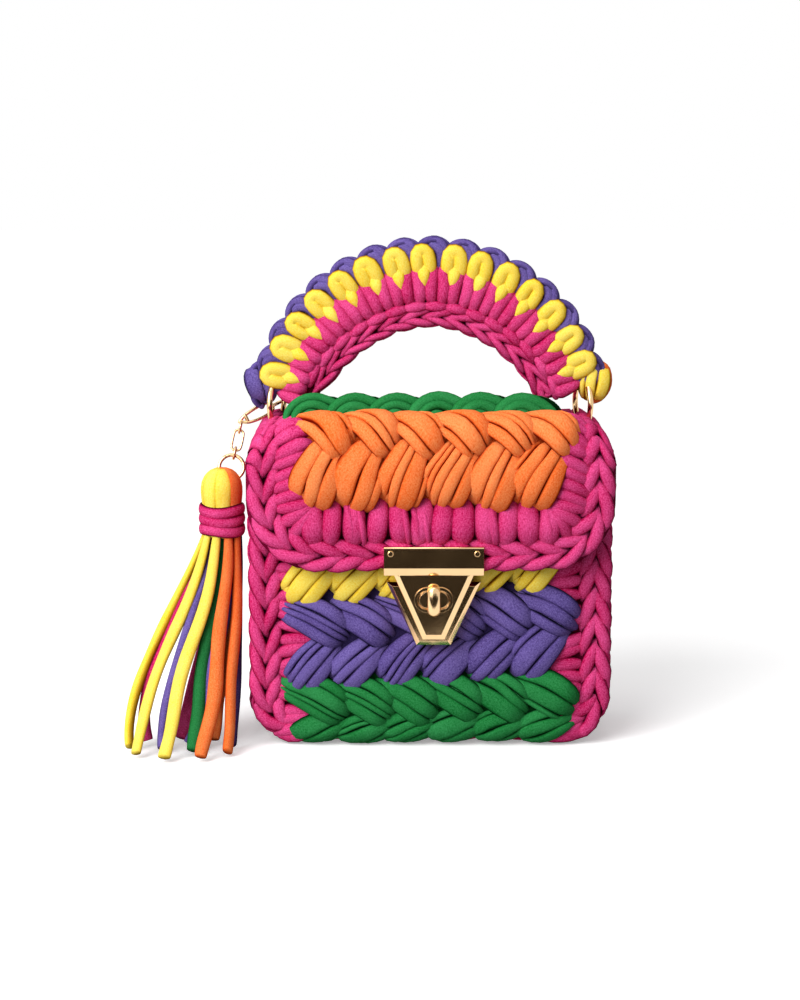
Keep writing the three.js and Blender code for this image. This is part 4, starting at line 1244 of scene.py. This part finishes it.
# %% [markdown]
# The knob of the turn lock is cast: a round-ended bar, flattened front to back, on a short
# shank. A ball pulled apart in the middle gives the bar, and a cylinder is joined to it.

# %% Turn knob
KNOB_X = 1.5
KNOB_Z = 79.2
KNOB_BACK_Y = -55.4
KNOB_RADIUS = 3.25
KNOB_LENGTH = 15.0
KNOB_DEPTH = 4.4
SHANK_RADIUS = 2.2
SHANK_BACK_Y = -46.6
deselect_all()
bpy.ops.mesh.primitive_uv_sphere_add(segments=40, ring_count=20, radius=KNOB_RADIUS * MM)
knob = bpy.context.object
knob.name = "turn_knob"
pull = (KNOB_LENGTH / 2 - KNOB_RADIUS) * MM
for point in knob.data.vertices:
    if point.co.z > 0.00001:
        point.co.z += pull
    elif point.co.z < -0.00001:
        point.co.z -= pull
    point.co.y *= KNOB_DEPTH / 2 / KNOB_RADIUS
knob.location = (KNOB_X * MM, (KNOB_BACK_Y - KNOB_DEPTH / 2) * MM, KNOB_Z * MM)
shank_length = SHANK_BACK_Y - KNOB_BACK_Y + KNOB_DEPTH / 2
bpy.ops.mesh.primitive_cylinder_add(
    vertices=32, radius=SHANK_RADIUS * MM, depth=shank_length * MM,
    location=(KNOB_X * MM, (SHANK_BACK_Y - shank_length / 2) * MM, KNOB_Z * MM),
    rotation=(math.pi / 2, 0, 0),
)
knob.select_set(True)
bpy.context.view_layer.objects.active = knob
bpy.ops.object.join()
bpy.ops.object.transform_apply(location=True, rotation=True, scale=True)
bpy.ops.object.shade_smooth_by_angle(angle=math.radians(40))
knob.data.materials.append(GOLD)
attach(knob, "knob")
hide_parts("clasp_turn_knob")
print("turn knob has", len(knob.data.polygons), "faces")

# %% [markdown]
# The snap hook of the charm is a flat cast loop: thick along its back, thin at the gate, with a
# round eye at the lower end. It lies where the frame's plain link lies, so its middle and its
# long axis are read from that link. It is bent from strands as the yarn is, in gold.

# %% Snap hook
YARN["gold"] = GOLD
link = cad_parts["charm_snap_hook"]
corners = np.array([link.matrix_world @ point.co for point in link.data.vertices]) / MM
hook_middle = corners.mean(axis=0)
_, _, directions = np.linalg.svd(corners - hook_middle, full_matrices=False)
long_way, flat_way, thin_way = directions
if long_way[2] > 0:
    long_way = -long_way
half_length = np.abs((corners - hook_middle) @ long_way).max()
HOOK_LINE = (
    (-1.0, 0.0), (-0.86, 2.3), (-0.4, 3.1), (0.1, 3.0), (0.55, 2.2), (0.8, 0.9), (0.98, 0.0),
    (0.8, -0.9), (0.55, -1.9), (0.1, -2.6), (-0.4, -2.9), (-0.86, -2.3), (-1.0, 0.0),
)
HOOK_GIRTH = (0.8, 0.8, 0.95, 1.3, 1.35, 0.95, 0.85, 0.9, 0.8, 0.7, 0.65, 0.75, 0.8)
hook = Skein("snap_hook", "gold")
hook_reach = half_length - 0.9
loop = [hook_middle + long_way * along * hook_reach + flat_way * aside for along, aside in HOOK_LINE]
hook.strand(loop, HOOK_GIRTH, high=0.85, side=thin_way, form=CORD, tip=1.0)
collar = hook_middle + long_way * half_length * 0.5
hook.strand(
    [collar - flat_way * 2.6, collar - flat_way, collar + flat_way, collar + flat_way * 2.6],
    wide=1.1, high=1.0, side=thin_way, tip=0.6,
)
hook.wind_off("charm", "charm_snap_hook", slot="gold_metal")

# %% [markdown]
# A plain studio: a white floor that keeps the shadow, an even white surround, a broad key lamp
# high on the left in front, three soft boxes, and a dark card that lies in front of the bag.
# Only mirrors see the card; it gives polished metal something dark to reflect, as a
# photographer's black flag does.

# %% Floor and light
def stage_plane(name, size, location):
    deselect_all()
    bpy.ops.mesh.primitive_plane_add(size=size, location=location)
    plane = bpy.context.object
    plane.name = name
    return plane


def plain_finish(tree, colour, glow=0.0):
    """A matt surface that may also glow a little."""
    surface = tree.nodes.new("ShaderNodeBsdfPrincipled")
    surface.inputs["Base Color"].default_value = colour
    surface.inputs["Roughness"].default_value = 1.0
    surface.inputs["Specular IOR Level"].default_value = 0.0
    surface.inputs["Emission Color"].default_value = (1, 1, 1, 1)
    surface.inputs["Emission Strength"].default_value = glow
    return surface


def bare_material(name):
    """A material whose output is still free."""
    material = bpy.data.materials.new(name)
    material.use_nodes = True
    material.node_tree.nodes.remove(material.node_tree.nodes["Principled BSDF"])
    return material


def show(tree, surface):
    tree.links.new(surface.outputs[0], tree.nodes["Material Output"].inputs["Surface"])


def seen_directly(wire):
    """1 for rays from the camera, and for what metal and glass show of the surroundings."""
    rays = "ShaderNodeLightPath"
    seen = wire.add(rays, None, None, "Is Camera Ray") + wire.add(rays, None, None, "Is Glossy Ray")
    return seen + wire.add(rays, None, None, "Is Transmission Ray")


FLOOR_GREY = (0.97, 0.97, 0.97, 1)
FLOOR_GLOW = 0.33
FLOOR_BOUNCE = (0.26, 0.26, 0.26, 1)
FLAG_BLACK = (0.035, 0.03, 0.024, 1)
floor = stage_plane("floor", size=12.0, location=(0, 0, -0.0004))
floor_finish = bare_material("floor white")
floor_tree = floor_finish.node_tree
shown = plain_finish(floor_tree, FLOOR_GREY, FLOOR_GLOW)
bounced = plain_finish(floor_tree, FLOOR_BOUNCE)
either = floor_tree.nodes.new("ShaderNodeMixShader")
floor_wire = Wire(floor_tree)
floor_wire.feed(either.inputs[0], seen_directly(floor_wire))
floor_tree.links.new(bounced.outputs[0], either.inputs[1])
floor_tree.links.new(shown.outputs[0], either.inputs[2])
show(floor_tree, either)
floor.data.materials.append(floor_finish)

flag = stage_plane("dark card", size=1.3, location=(0.0, -0.95, 0.0))
flag_finish = bare_material("card black")
show(flag_finish.node_tree, plain_finish(flag_finish.node_tree, FLAG_BLACK))
flag.data.materials.append(flag_finish)
flag.visible_camera = False
flag.visible_diffuse = False
flag.visible_shadow = False

world = bpy.data.worlds.new("studio")
bpy.context.scene.world = world
world.use_nodes = True
sky = Wire(world.node_tree)
AMBIENT = 0.36
backdrop = world.node_tree.nodes["Background"]
backdrop.inputs["Color"].default_value = (1, 1, 1, 1)
sky.feed(backdrop.inputs["Strength"], seen_directly(sky) * (1.0 - AMBIENT) + AMBIENT)

key = bpy.data.objects.new("key lamp", bpy.data.lights.new("key lamp", "SUN"))
bpy.context.scene.collection.objects.link(key)
KEY_STRENGTH = 1.95
KEY_BREADTH = math.radians(38)
KEY_FROM = Vector((-0.62, -0.85, 0.7))
key.data.energy = KEY_STRENGTH
key.data.angle = KEY_BREADTH
key.rotation_euler = KEY_FROM.to_track_quat("Z", "Y").to_euler()
BOX_SIZE = 0.5
BOX_AIM = Vector((0, 0, 0.12))
BOXES = {
    "soft box": (2.0, (-0.5, -0.46, 0.46)),
    "top box": (1.7, (-0.1, -0.15, 0.85)),
    "front box": (1.4, (-0.38, -0.72, 0.14)),
}
for name, (energy, place) in BOXES.items():
    box = bpy.data.objects.new(name, bpy.data.lights.new(name, "AREA"))
    bpy.context.scene.collection.objects.link(box)
    box.data.energy = energy
    box.data.size = BOX_SIZE
    box.location = place
    toward_bag = BOX_AIM - box.location
    box.rotation_euler = toward_bag.to_track_quat("-Z", "Y").to_euler()
print("stage set with", 1 + len(BOXES), "lamps")
